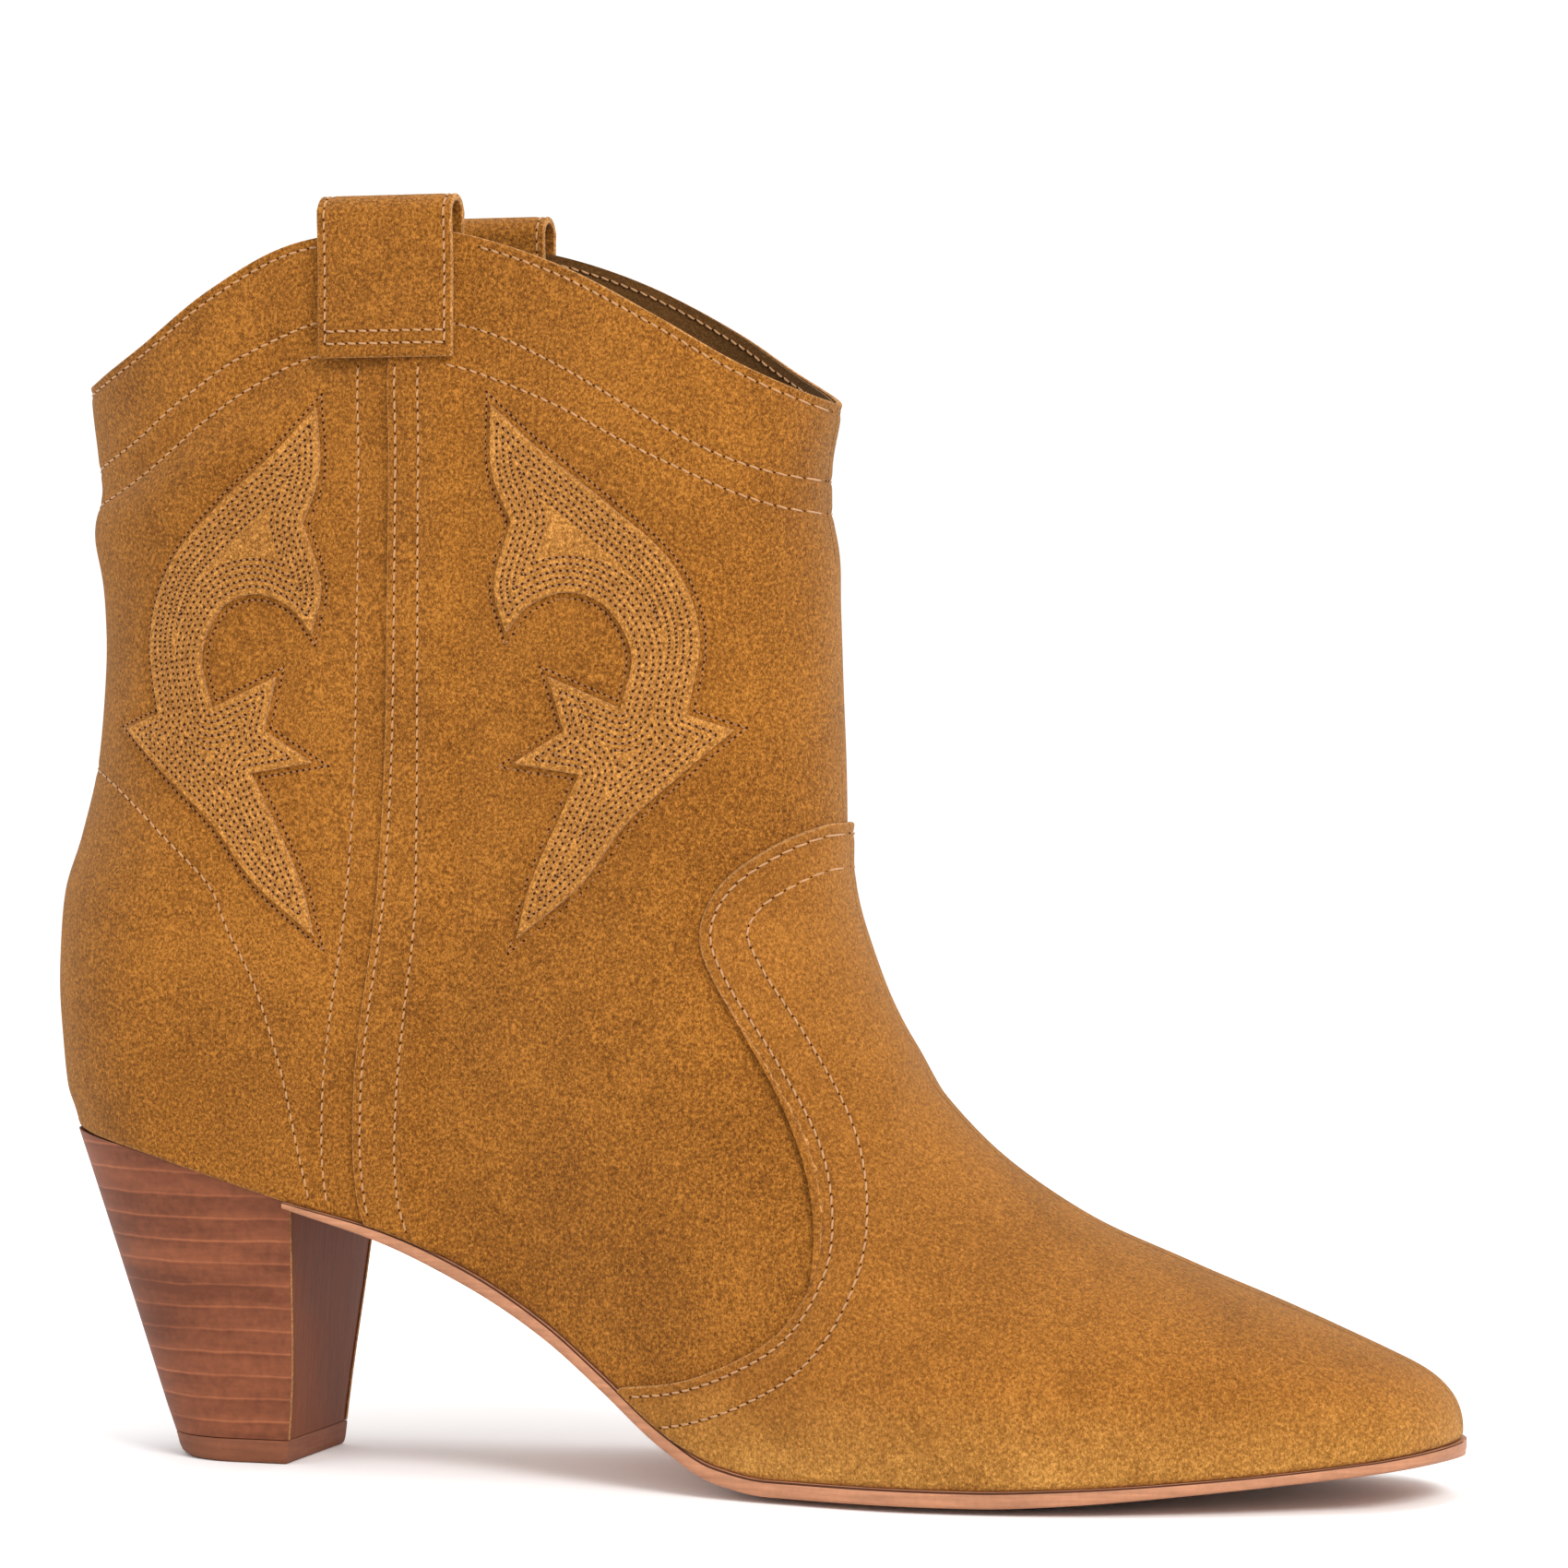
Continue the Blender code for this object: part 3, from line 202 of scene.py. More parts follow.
def curve(points, per_span=12):
    """A polyline on the smooth curve (Catmull-Rom) through the points."""
    knots = np.array(points, dtype=float)
    if len(knots) == 2:
        return knots
    knots = np.vstack([2 * knots[0] - knots[1], knots, 2 * knots[-1] - knots[-2]])
    line = []
    for a, b, c, d in zip(knots, knots[1:], knots[2:], knots[3:]):
        for t in np.arange(per_span) / per_span:
            line.append(0.5 * (2 * b + (c - a) * t + (2 * a - 5 * b + 4 * c - d) * t * t
                               + (3 * b - a - 3 * c + d) * t**3))
    line.append(knots[-2])
    return np.array(line)


def length_of(line):
    """A polyline's length."""
    return np.hypot(*np.diff(line, axis=0).T).sum()


def distances(line):
    """How far along a polyline each of its points lies."""
    return np.concatenate([[0.0], np.cumsum(np.hypot(*np.diff(line, axis=0).T))])


def at_fraction(line, fractions):
    """Points at the given fractions of a polyline's length."""
    run = distances(line)
    run /= run[-1]
    return np.stack([np.interp(fractions, run, column) for column in line.T], 1)


def unit(steps):
    """Side-view directions of length 1."""
    return steps / np.maximum(np.hypot(steps[:, 0], steps[:, 1]), 1e-9)[:, None]


def moved_line(line, distance):
    """A polyline moved sideways (+ to its right)."""
    step = unit(np.gradient(line, axis=0))
    return line + distance * np.stack([step[:, 1], -step[:, 0]], 1)


def nearest(line, points):
    """Signed distance of points to a polyline (+ on its right), and the nearest points."""
    start, step = line[:-1], np.diff(line, axis=0)
    size = (step**2).sum(1)
    distance, foot = np.empty(len(points)), np.empty((len(points), 2))
    for first in range(0, len(points), BLOCK):
        block = points[first:first + BLOCK]
        rel_x = block[:, :1] - start[None, :, 0]
        rel_z = block[:, 1:2] - start[None, :, 1]
        t = np.clip((rel_x * step[:, 0] + rel_z * step[:, 1]) / size, 0.0, 1.0)
        away_x, away_z = rel_x - t * step[:, 0], rel_z - t * step[:, 1]
        best = (away_x**2 + away_z**2).argmin(1)
        rows = np.arange(len(block))
        gap = np.stack([away_x[rows, best], away_z[rows, best]], 1)
        side = step[best, 0] * gap[:, 1] - step[best, 1] * gap[:, 0]
        distance[first:first + BLOCK] = -np.sign(side) * np.hypot(gap[:, 0], gap[:, 1])
        foot[first:first + BLOCK] = block - gap
    return distance, foot


def part_of(line, first, last):
    """The stretch of a polyline between the points nearest to two given points."""
    run = distances(line)
    ends = []
    for point in (first, last):
        spot = nearest(line, np.array([point], dtype=float))[1][0]
        k = int(np.argmin(((line - spot)**2).sum(1)))
        for segment in (max(k - 1, 0), min(k, len(line) - 2)):
            step = line[segment + 1] - line[segment]
            t = np.dot(spot - line[segment], step) / (step**2).sum()
            if -1e-6 <= t <= 1 + 1e-6:
                ends.append(run[segment] + t * (run[segment + 1] - run[segment]))
                break
    return at_fraction(line, np.linspace(ends[0], ends[1], 320) / run[-1])


def smoothstep(t):
    """Rises smoothly from 0 to 1 as t does."""
    t = np.clip(t, 0.0, 1.0)
    return t * t * (3 - 2 * t)


front_curve = curve(FRONT_LINE)
back_curve = curve(BACK_LINE)
top_curve = curve(TOP_LINE)
feather = graph(FEATHER_LINE)
seam_x = graph(SEAM_LINE)
low_width = graph(LOW_WIDTH)
high_width = graph(HIGH_WIDTH)
front_rounding = graph(FRONT_ROUNDING)
back_rounding = graph(BACK_ROUNDING)
centre_line = graph(CENTRE_LINE)
heel_back = graph(HEEL_BACK)
heel_breast = graph(HEEL_BREAST)
heel_half = graph(HEEL_HALF)
sole_thickness = graph(SOLE_LINE)


# ---------------------------------------------------------------- the skin
def centre_y(x, z):
    """The boot's curved middle, which fades out above the foot."""
    return centre_line(x) * (1 - smoothstep((z - feather(x)) / 60.0))


def full_width(x, z):
    """Half width of the flat of the side: the last's low down, the shaft's above."""
    rise = smoothstep((z - feather(x) - 12.0) / 70.0)
    return low_width(x) * (1 - rise) + high_width(z) * rise


def closing(x, z):
    """Goes from 0 at the front and back lines to 1 over the flat of the side."""
    points = np.stack([x, z], 1)
    from_front, spot = nearest(front_curve, points)
    from_back = nearest(back_curve, points)[0]
    value = 1.0
    for ratio in (from_front / front_rounding(spot[:, 0]), from_back / back_rounding(z)):
        value = value * (1 - (1 - np.minimum(ratio, 1.0))**2)
    return value


def half_width(x, z):
    """Half width of the skin at a side-view point."""
    return full_width(x, z) * np.sqrt(np.maximum(closing(x, z), 0.0))


def folded_sheet(grid):
    """Both sides of a side-view grid, joined where it lies on the front or back line."""
    rows, columns = grid.shape[:2]
    points, index, faces = [], {}, []
    flat = grid.reshape(-1, 2)
    off_middle = np.abs([nearest(line, flat)[0] for line in (front_curve, back_curve)]).min(0)
    on_middle = (off_middle < 0.05).reshape(rows, columns)
    for side in (-1.0, 1.0):
        ids = np.zeros((rows, columns), dtype=int)
        for i in range(rows):
            for j in range(columns):
                x, z = grid[i, j]
                key = (round(x, 4), round(z, 4), 0.0 if on_middle[i, j] else side)
                if key not in index:
                    index[key] = len(points)
                    points.append((x, z, key[2]))
                ids[i, j] = index[key]
        for i in range(rows - 1):
            for j in range(columns - 1):
                loop = [ids[i, j], ids[i + 1, j], ids[i + 1, j + 1], ids[i, j + 1]]
                if side > 0:
                    loop.reverse()
                loop = [int(k) for n, k in enumerate(loop) if k != loop[n - 1]]
                if len(loop) > 2:
                    faces.append(loop)
    return np.array(points), faces


def spread(count, curved=0.45):
    """Column places from the middle outwards: close together where the skin turns, then even."""
    t = np.linspace(0, 1, count)
    return np.where(t < curved, t * t / (2 * curved), t - curved / 2) / (1 - curved / 2)


def patch(start_row, end_row, middle, outer, across, along):
    """A grid filling four side-view boundary lines (a Coons patch)."""
    c0, c1 = at_fraction(start_row, across), at_fraction(end_row, across)
    r0, r1 = at_fraction(middle, along), at_fraction(outer, along)
    u, w = along[:, None, None], across[None, :, None]
    corners = ((1 - u) * (1 - w) * c0[0] + (1 - u) * w * c0[-1]
               + u * (1 - w) * c1[0] + u * w * c1[-1])
    return (1 - u) * c0[None] + u * c1[None] + (1 - w) * r0[:, None] + w * r1[:, None] - corners


# ---------------------------------------------------------------- pattern lines
def seam_curve(shift):
    """The side seam from the top line to the feather line, moved forward by shift."""
    z = np.linspace(235.0, 46.0, 120)
    line = np.stack([seam_x(z) + shift, z], 1)
    inside = (nearest(top_curve, line)[0] > 0) & (line[:, 1] > feather(line[:, 0]) + FEATHER_GAP)
    line = line[inside]
    top = nearest(top_curve, line[:1])[1]
    foot_x = line[-1, 0]
    return np.vstack([top, line, [[foot_x, feather(foot_x) + FEATHER_GAP]]])


def feather_curve(first_x, last_x):
    """The upper's lower edge between two places along the boot."""
    x = np.linspace(first_x, last_x, 90)
    return np.stack([x, feather(x) + FEATHER_GAP], 1)


def cross_curve(points, shift):
    """A line from the front line to the feather line, moved towards the toe by shift."""
    line = moved_line(curve(points), -shift)
    above_sole = line[:, 1] > feather(line[:, 0]) + FEATHER_GAP + 0.5
    line = line[(nearest(front_curve, line)[0] > 0.5) & above_sole]
    start = nearest(front_curve, line[:1])[1]
    foot_x = line[-1, 0] - 1.0
    return np.vstack([start, line, [[foot_x, feather(foot_x) + FEATHER_GAP]]])


def lift(past_lap):
    """Height of a lapping layer over its neighbour's edge, by the distance past that edge."""
    return LAP_LIFT * (1 - smoothstep((past_lap - LAP_FLAT) / LAP_RAMP))


def back_grid(seam_shift, rows, columns):
    """Side-view grid of the back panel, with its front edge moved forward from the seam."""
    seam = seam_curve(seam_shift)
    heel_x = BACK_LINE[1][0]
    back = part_of(back_curve, TOP_LINE[0], (heel_x, feather(heel_x) + FEATHER_GAP))
    top = np.vstack([back[:1], part_of(top_curve, TOP_BACK_START, seam[0])])
    foot = np.vstack([back[-1:], feather_curve(back[-1, 0] + 1.0, seam[-1, 0])])
    return patch(top, foot, back, seam, spread(columns), rows)


def front_grid(seam_shift, foot_shift, rows, columns, lap_shifts=()):
    """Side-view grid of the front panel; lap_shifts are further columns out to its seam edge."""
    seam = seam_curve(seam_shift)
    edge = cross_curve(PANEL_FOOT, foot_shift)
    middle = part_of(front_curve, TOP_LINE[-1], edge[0])
    middle[-1] = edge[0]
    top = np.vstack([middle[:1], part_of(top_curve, TOP_FRONT_START, seam[0])])
    foot = np.vstack([edge, feather_curve(edge[-1, 0] - 1.0, seam[-1, 0])])
    grid = patch(top, foot, middle, seam, spread(columns), rows)
    lap = [at_fraction(seam_curve(shift), rows)[:, None] for shift in lap_shifts]
    return np.concatenate([grid] + lap, 1)


def between(start, end, across, rows):
    """The patch between two lines that both run from the front line to the feather line."""
    middle = part_of(front_curve, start[0], end[0])
    middle[0], middle[-1] = start[0], end[0]
    foot = feather_curve(start[-1, 0], end[-1, 0])
    return patch(start, end, middle, foot, across, rows)


def vamp_grid(foot_shift, rows, columns):
    """Side-view grid of the vamp from the front panel's foot, moved to the toe, to the toe."""
    start = cross_curve(PANEL_FOOT, foot_shift)
    toe = part_of(front_curve, TOE_POINT, (TOE_POINT[0], feather(TOE_POINT[0]) + FEATHER_GAP))
    middle = part_of(front_curve, start[0], toe[0])
    middle[0], middle[-1] = start[0], toe[0]
    foot = np.vstack([feather_curve(start[-1, 0], TOE_POINT[0] - 0.5), toe[-1:]])
    return patch(start, toe, middle, foot, spread(columns), rows)


def toe_rows(count, closing_up):
    """Row places that close up towards the toe."""
    return 1 - (1 - np.linspace(0, 1, count))**closing_up


# ---------------------------------------------------------------- the skin in 3-D
def skin_frame(xz):
    """Points of the skin on the inner side and their outward normals, for side-view points."""
    x, z = xz[:, 0], xz[:, 1]
    half = half_width(x, z)

    def field(dx, dz):
        return (half / full_width(x + dx, z + dz))**2 - closing(x + dx, z + dz)
    step = 0.2
    normal = np.stack([field(step, 0) - field(-step, 0),
                       4 * step * half / full_width(x, z)**2,
                       field(0, step) - field(0, -step)], 1)
    normal /= np.linalg.norm(normal, axis=1)[:, None]
    return np.stack([x, half, z], 1), normal


def relief(points, side):
    """Soft unevenness of the leather at skin points, in mm."""
    x, z = points[:, 0], points[:, 2]
    y = points[:, 1] * side
    below_top = nearest(top_curve, points[:, [0, 2]])[0]
    behind = smoothstep((-40.0 - x) / 60.0)
    roll = sum((all_round + at_back * behind) * np.exp(-((below_top - depth) / breadth)**2)
               for all_round, at_back, depth, breadth in ROLLS)
    swell = sum(height * np.sin(x / along_x + z / along_z + y / along_y + phase)
                for height, along_x, along_z, along_y, phase in SWELLS)
    ankle = smoothstep((z - 60.0) / 50.0)
    above_sole = smoothstep((z - feather(x) - 4.0) / 20.0)
    return roll + swell * (0.25 + 0.75 * ankle) * above_sole


def on_side(points, normal, depth, side):
    """Moves skin points out to a depth, on side -1, 0 (the middle) or +1, in the curved foot."""
    moved = points + normal * np.asarray(depth)[:, None]
    moved[:, 1] *= side
    moved[:, 1] += centre_y(points[:, 0], points[:, 2])
    return moved


# ---------------------------------------------------------------- pieces
def volume(points, faces):
    """Signed volume inside the faces, positive when they face outwards."""
    corners = [(f[0], f[k], f[k + 1]) for f in faces for k in range(1, len(f) - 1)]
    a, b, c = (points[[t[k] for t in corners]] for k in range(3))
    return float(np.einsum("ij,ij->i", a, np.cross(b, c)).sum()) / 6.0


def make_piece(name, points, faces, looks, stands_for=(), marks=None, sharp=50):
    """One piece from points in pattern millimetres; marks gives each face its material."""
    points = (np.asarray(points, dtype=float) + FRAME_SHIFT) * MM
    if volume(points, faces) < 0:
        faces = [tuple(reversed(face)) for face in faces]
    mesh = bpy.data.meshes.new(name)
    mesh.from_pydata(points.tolist(), [], faces)
    if marks is not None:
        mesh.polygons.foreach_set("material_index", np.asarray(marks, dtype=np.int32))
    mesh.update()
    mesh.shade_smooth()
    mesh.set_sharp_from_angle(angle=math.radians(sharp))
    piece = bpy.data.objects.new(name, mesh)
    bpy.context.collection.objects.link(piece)
    for look in looks:
        mesh.materials.append(look)
    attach(piece, "root")
    if stands_for:
        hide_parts(*stands_for)
    return piece


def edge_drop(distance):
    """How far a rounded cut edge falls below the leather's face, by distance from the edge."""
    inside = EDGE_ROUNDING - np.minimum(distance, EDGE_ROUNDING)
    return EDGE_ROUNDING - np.sqrt(np.maximum(EDGE_ROUNDING**2 - inside**2, 0.0))


def shell(name, faces, outer, inner, to_edge, looks, stands_for):
    """A closed piece from a sheet's outer and inner points; its cut edge has the second look."""
    count = len(outer)
    directed = set()
    for face in faces:
        directed.update(zip(face, face[1:] + face[:1]))
    rim = sorted((a, b) for a, b in directed if (b, a) not in directed)
    body = [list(f) for f in faces] + [[k + count for k in reversed(f)] for f in faces]
    body += [[b, a, a + count, b + count] for a, b in rim]
    cut = to_edge < CUT_EDGE
    marks = [int(all(cut[k] for k in f)) for f in faces] + [0] * len(faces) + [1] * len(rim)
    return make_piece(name, np.vstack([outer, inner]), body, looks, stands_for, marks)


def leather(name, grid, base, thickness, edges, looks, stands_for, grooves=None):
    """A leather piece over a side-view grid, folded over both sides of the boot.

    base gives the height of its under face over the skin, and edges are its visible cut edges.
    """
    sheet, faces = folded_sheet(grid)
    xz, side = sheet[:, :2], sheet[:, 2]
    points, normal = skin_frame(xz)
    low = base(xz) + relief(points, side)
    to_edge = np.full(len(xz), 99.0)
    for edge in edges:
        to_edge = np.minimum(to_edge, np.abs(nearest(edge, xz)[0]))
    above = np.minimum((xz[:, 1] - feather(xz[:, 0])) / FEATHER_ROUNDING, 1.0)
    tuck = FEATHER_TUCK * (1 - np.sqrt(np.maximum(1 - (1 - above)**2, 0.0)))
    high = low + thickness - edge_drop(to_edge) - tuck
    if grooves is not None:
        high = high - grooves(xz)
    outer = on_side(points, normal, high, side)
    inner = on_side(points, normal, np.minimum(low, high - THINNEST), side)
    return shell(name, faces, outer, inner, to_edge, looks, stands_for)


def row_grooves(rows):
    """Depth of the grooves that rows of stitches press into the leather."""
    spots = []
    for row in rows:
        spots.append(at_fraction(row, np.linspace(0, 1, max(2, int(length_of(row) / 0.4)))))
    spots = np.vstack(spots)
    tree = KDTree(len(spots))
    for k, (x, z) in enumerate(spots):
        tree.insert((x, z, 0.0), k)
    tree.balance()

    def depth(xz):
        away = np.array([tree.find((x, z, 0.0))[2] for x, z in xz])
        return GROOVE_DEPTH * np.exp(-(away / GROOVE_WIDTH)**2)
    return depth


# ---------------------------------------------------------------- stitching
STATIONS = np.array([0.06, 0.22, 0.5, 0.78, 0.94])      # places along one stitch
THREAD_WIDTH = np.array([0.45, 0.9, 1.0, 0.9, 0.45])    # and the thread's width and height
THREAD_RISE = np.array([-0.7, 0.15, 0.45, 0.15, -0.7])  # there, in radii
THREAD_RADIUS, HOLE_RADIUS = 0.21, 0.17
MOTIF_THREAD_RADIUS, MOTIF_HOLE_RADIUS = 0.15, 0.23
THREAD_SIDES = HOLE_SIDES = 6
THREAD_SLANT = 0.10      # how far a stitch slants across its row, in stitch lengths
HOLE_STRETCH = 1.7       # holes are drawn out along the row
HOLE_RISE, HOLE_CROWN, HOLE_DEPTH = 0.10, 0.05, 0.35


def stitch_row(line, pitch, place, radius):
    """Points and faces of the stitches along a line; place maps it to (points, normals)."""
    count = max(1, round(length_of(line) / pitch))
    knots = at_fraction(line, np.linspace(0, 1, count + 1))
    spots = knots[:-1, None] + (knots[1:] - knots[:-1])[:, None] * STATIONS[None, :, None]
    points, normals = place(spots.reshape(-1, 2))
    points = points.reshape(count, -1, 3)
    normals = normals.reshape(count, -1, 3)
    along = points[:, -1:] - points[:, :1]
    along = along / np.maximum(np.linalg.norm(along, axis=2), 1e-9)[..., None]
    across = np.cross(along, normals)
    across /= np.maximum(np.linalg.norm(across, axis=2), 1e-9)[..., None]
    lean = THREAD_SLANT * pitch * (STATIONS - 0.5)[None, :, None]
    centres = points + normals * (THREAD_RISE * radius)[None, :, None] + across * lean
    turn = 2 * math.pi * np.arange(THREAD_SIDES) / THREAD_SIDES
    width = (THREAD_WIDTH * radius)[None, :, None, None]
    tubes = (centres[:, :, None] + across[:, :, None] * width * np.cos(turn)[None, None, :, None]
             + normals[:, :, None] * width * np.sin(turn)[None, None, :, None])
    rings = len(STATIONS)
    faces = []
    for k in range(count):
        first = k * rings * THREAD_SIDES
        for i in range(rings - 1):
            for j in range(THREAD_SIDES):
                n = (j + 1) % THREAD_SIDES
                low = first + i * THREAD_SIDES
                faces.append((low + n, low + j, low + THREAD_SIDES + j, low + THREAD_SIDES + n))
        faces.append(tuple(range(first, first + THREAD_SIDES)))
        last = first + (rings - 1) * THREAD_SIDES
        faces.append(tuple(range(last + THREAD_SIDES - 1, last - 1, -1)))
    return tubes.reshape(-1, 3), faces, knots


def stitch_holes(knots, place, radius):
    """Needle holes as small lenses drawn out along the row and let into the leather, coloured dark as
    painted shade inside the holes.
    """
    points, normals = place(knots)
    along = np.gradient(points, axis=0)
    across = np.cross(along, normals)
    across /= np.maximum(np.linalg.norm(across, axis=1), 1e-9)[:, None]
    along = HOLE_STRETCH * np.cross(normals, across)
    turn = 2 * math.pi * np.arange(HOLE_SIDES) / HOLE_SIDES
    centre = points + normals * HOLE_RISE
    ring = (centre[:, None] + radius * (across[:, None] * np.cos(turn)[None, :, None]
                                        - along[:, None] * np.sin(turn)[None, :, None]))
    top = centre + normals * HOLE_CROWN
    foot = centre - normals * HOLE_DEPTH
    lenses = np.concatenate([ring, top[:, None], foot[:, None]], 1)
    size, faces = HOLE_SIDES + 2, []
    for k in range(len(knots)):
        for j in range(HOLE_SIDES):
            n = (j + 1) % HOLE_SIDES
            faces.append((k * size + n, k * size + j, k * size + HOLE_SIDES))
            faces.append((k * size + j, k * size + n, k * size + HOLE_SIDES + 1))
    return lenses.reshape(-1, 3), faces


def stitching(name, rows, looks, radius=THREAD_RADIUS, hole=HOLE_RADIUS):
    """One piece of all the stitches of rows of (line, pitch, place)."""
    points, faces, marks, start = [], [], [], 0
    for line, pitch, place in rows:
        tubes, tube_faces, knots = stitch_row(line, pitch, place, radius)
        lenses, lens_faces = stitch_holes(knots, place, hole)
        for block, block_faces, mark in ((tubes, tube_faces, 0), (lenses, lens_faces, 1)):
            points.append(block)
            faces += [tuple(v + start for v in f) for f in block_faces]
            marks += [mark] * len(block_faces)
            start += len(block)
    return make_piece(name, np.vstack(points), faces, looks, (), marks)


def on_leather(height, side, inward=False):
    """Places side-view points on a leather face at a height over the skin."""
    def place(xz):
        points, normal = skin_frame(xz)
        placed = on_side(points, normal, height(xz) + relief(points, side) - GROOVE_DEPTH, side)
        facing = normal * [1.0, side, 1.0]
        return placed, -facing if inward else facing
    return place


# ---------------------------------------------------------------- heights of the layers
def back_top(xz):
    """The back panel and the linings don't rise."""
    return np.zeros(len(xz))


def front_lift(xz):
    """The front panel's rise over the back panel at the side seam."""
    return lift(xz[:, 0] - seam_x(xz[:, 1]) - LAP_WIDTH)


def vamp_lift(xz):
    """The vamp's rise over the front panel."""
    return lift(-nearest(curve(PANEL_FOOT), xz)[0])


def vamp_thread(xz):
    """The vamp's threads, a little prouder where its lapping edge bends."""
    return vamp_lift(xz) + 0.12


def lowered(height, depth):
    """A height of a layer, less a depth."""
    return lambda xz: height(xz) - depth


# ---------------------------------------------------------------- lines of stitches
COLLAR_ROWS_FRONT = (
    ((10.4, 185.2), (5.5, 185.8), (-1, 187.6), (-9.4, 191.3), (-21.9, 198.4), (-34.5, 205.6),
     (-47, 211.6), (-57, 214.6)),
    ((10.4, 179.2), (4, 180.2), (-4, 183), (-11, 186.3), (-23, 192.1), (-36, 198.9),
     (-50, 204.6), (-57, 206.6)),
)
COLLAR_ROWS_BACK = (
    ((-76, 215.8), (-84.7, 214.2), (-98.7, 208.3), (-107, 203.2), (-113.8, 198.9),
     (-121, 194.2), (-129, 190.6), (-137.2, 188)),
    ((-76, 209.6), (-82, 208.8), (-89, 206.6), (-98.2, 201.8), (-106, 196.8),
     (-113.5, 191.6), (-121, 187), (-129, 183.4), (-136.8, 181.2)),
)
COUNTER_ROW = ((-135, 131.6), (-130.5, 130.4), (-125, 127.8), (-119, 123.6), (-113, 118.6),
               (-107, 113.2), (-103.2, 108.6), (-100.6, 102), (-94.9, 91), (-89.9, 74.8),
               (-87, 61.8), (-84.6, 51.6))
# Rows beside the side seam: distance in front of it, by height for the far one, and behind it.
SEAM_ROW_NEAR = 1.5
SEAM_ROW_FAR = graph(((50.0, 8.0), (80.0, 8.6), (97.0, 8.4), (123.0, 7.0), (151.0, 6.2),
                      (207.0, 6.0)))
BACK_SEAM_ROW = 6.3
EDGE_ROW = 1.7           # below the top line
VAMP_ROWS = (1.8, 7.7)   # in from the vamp's edge


def seam_row(shift):
    """A row beside the side seam, from below the pull strap to just above the sole."""
    z = np.linspace(STRAP_FOOT_OUTSIDE - 1.5, 46.0, 160)
    x = seam_x(z) + (shift(z) if callable(shift) else shift)
    keep = z > feather(x) + 1.5
    return np.stack([x, z], 1)[keep]


def top_row(first_x, last_x):
    """The row just below the top line between two places along it."""
    line = moved_line(top_curve, EDGE_ROW)
    return line[(line[:, 0] > first_x) & (line[:, 0] < last_x)]


def vamp_row(shift):
    """A row along the vamp's upper edge, moved in from it by shift."""
    line = cross_curve(VAMP_EDGE, shift)
    return line[line[:, 1] > feather(line[:, 0]) + 1.0]


def smooth_line(points):
    """A smooth row through the points, kept to the boot."""
    line = curve(points)
    inside = (nearest(front_curve, line)[0] > -0.2) & (nearest(back_curve, line)[0] > -2.0)
    return line[inside]


front_rows = ([seam_row(SEAM_ROW_NEAR), seam_row(SEAM_ROW_FAR), top_row(-52.0, 11.0)]
              + [smooth_line(r) for r in COLLAR_ROWS_FRONT])
back_rows = ([seam_row(-BACK_SEAM_ROW), top_row(-139.0, -81.0), smooth_line(COUNTER_ROW)]
             + [smooth_line(r) for r in COLLAR_ROWS_BACK])
vamp_rows = [vamp_row(shift) for shift in VAMP_ROWS]


# ---------------------------------------------------------------- scroll overlays
INNER_ROW_STEPS = (1.5, 2.75, 4.0, 5.25, 6.5)      # rows in from the scroll's edge
CORE_ROW_STEPS = (7.75, 9.0)       # only at the crossing, below CORE_TOP
CORE_TOP = 152.0
OUTER_ROW_STEP = 1.05              # the row on the panel beside the scroll


def scroll_outline(spacing):
    """The scroll's outline as one closed polygon, with its corners kept."""
    outline = []
    for run in FLAME_RUNS:
        line = curve(run)
        pieces = max(2, round(length_of(line) / spacing))
        outline += list(at_fraction(line, np.linspace(0, 1, pieces + 1)))[:-1]
    return np.array(outline)


def crossing(first, second):
    """Where two polylines cross: (segment of first, segment of second, point)."""
    best = None
    for i in range(len(first) - 1):
        p, r = first[i], first[i + 1] - first[i]
        q, s = second[:-1], np.diff(second, axis=0)
        cross = r[0] * s[:, 1] - r[1] * s[:, 0]
        cross = np.where(np.abs(cross) < 1e-9, 1e-9, cross)
        gap = q - p
        t = (gap[:, 0] * s[:, 1] - gap[:, 1] * s[:, 0]) / cross
        u = (gap[:, 0] * r[1] - gap[:, 1] * r[0]) / cross
        hits = np.nonzero((t >= 0) & (t <= 1) & (u >= 0) & (u <= 1))[0]
        if len(hits):
            best = (i, int(hits[0]), p + t[hits[0]] * r)
    return best


def outer_row(distance, reach=9.0):
    """The scroll's outline moved outwards, run by run, with sharp corners past its tips."""
    sides = []
    for run in FLAME_RUNS:
        line = curve(run) if len(run) > 2 else at_fraction(curve(run), np.linspace(0, 1, 8))
        line = moved_line(line, -distance)
        head = line[0] - reach * (line[1] - line[0]) / np.hypot(*(line[1] - line[0]))
        tail = line[-1] + reach * (line[-1] - line[-2]) / np.hypot(*(line[-1] - line[-2]))
        sides.append(np.vstack([head, line, tail]))
    cuts = [crossing(line, after) for line, after in zip(sides, sides[1:] + sides[:1])]
    rows = []
    for line, first, last in zip(sides, cuts[-1:] + cuts[:-1], cuts):
        row = list(line[first[1] + 1 if first else 1:last[0] + 1 if last else len(line) - 1])
        if first:
            row.insert(0, first[2])
        if last:
            row.append(last[2])
        if len(row) > 1:
            rows.append(np.array(row))
    return rows


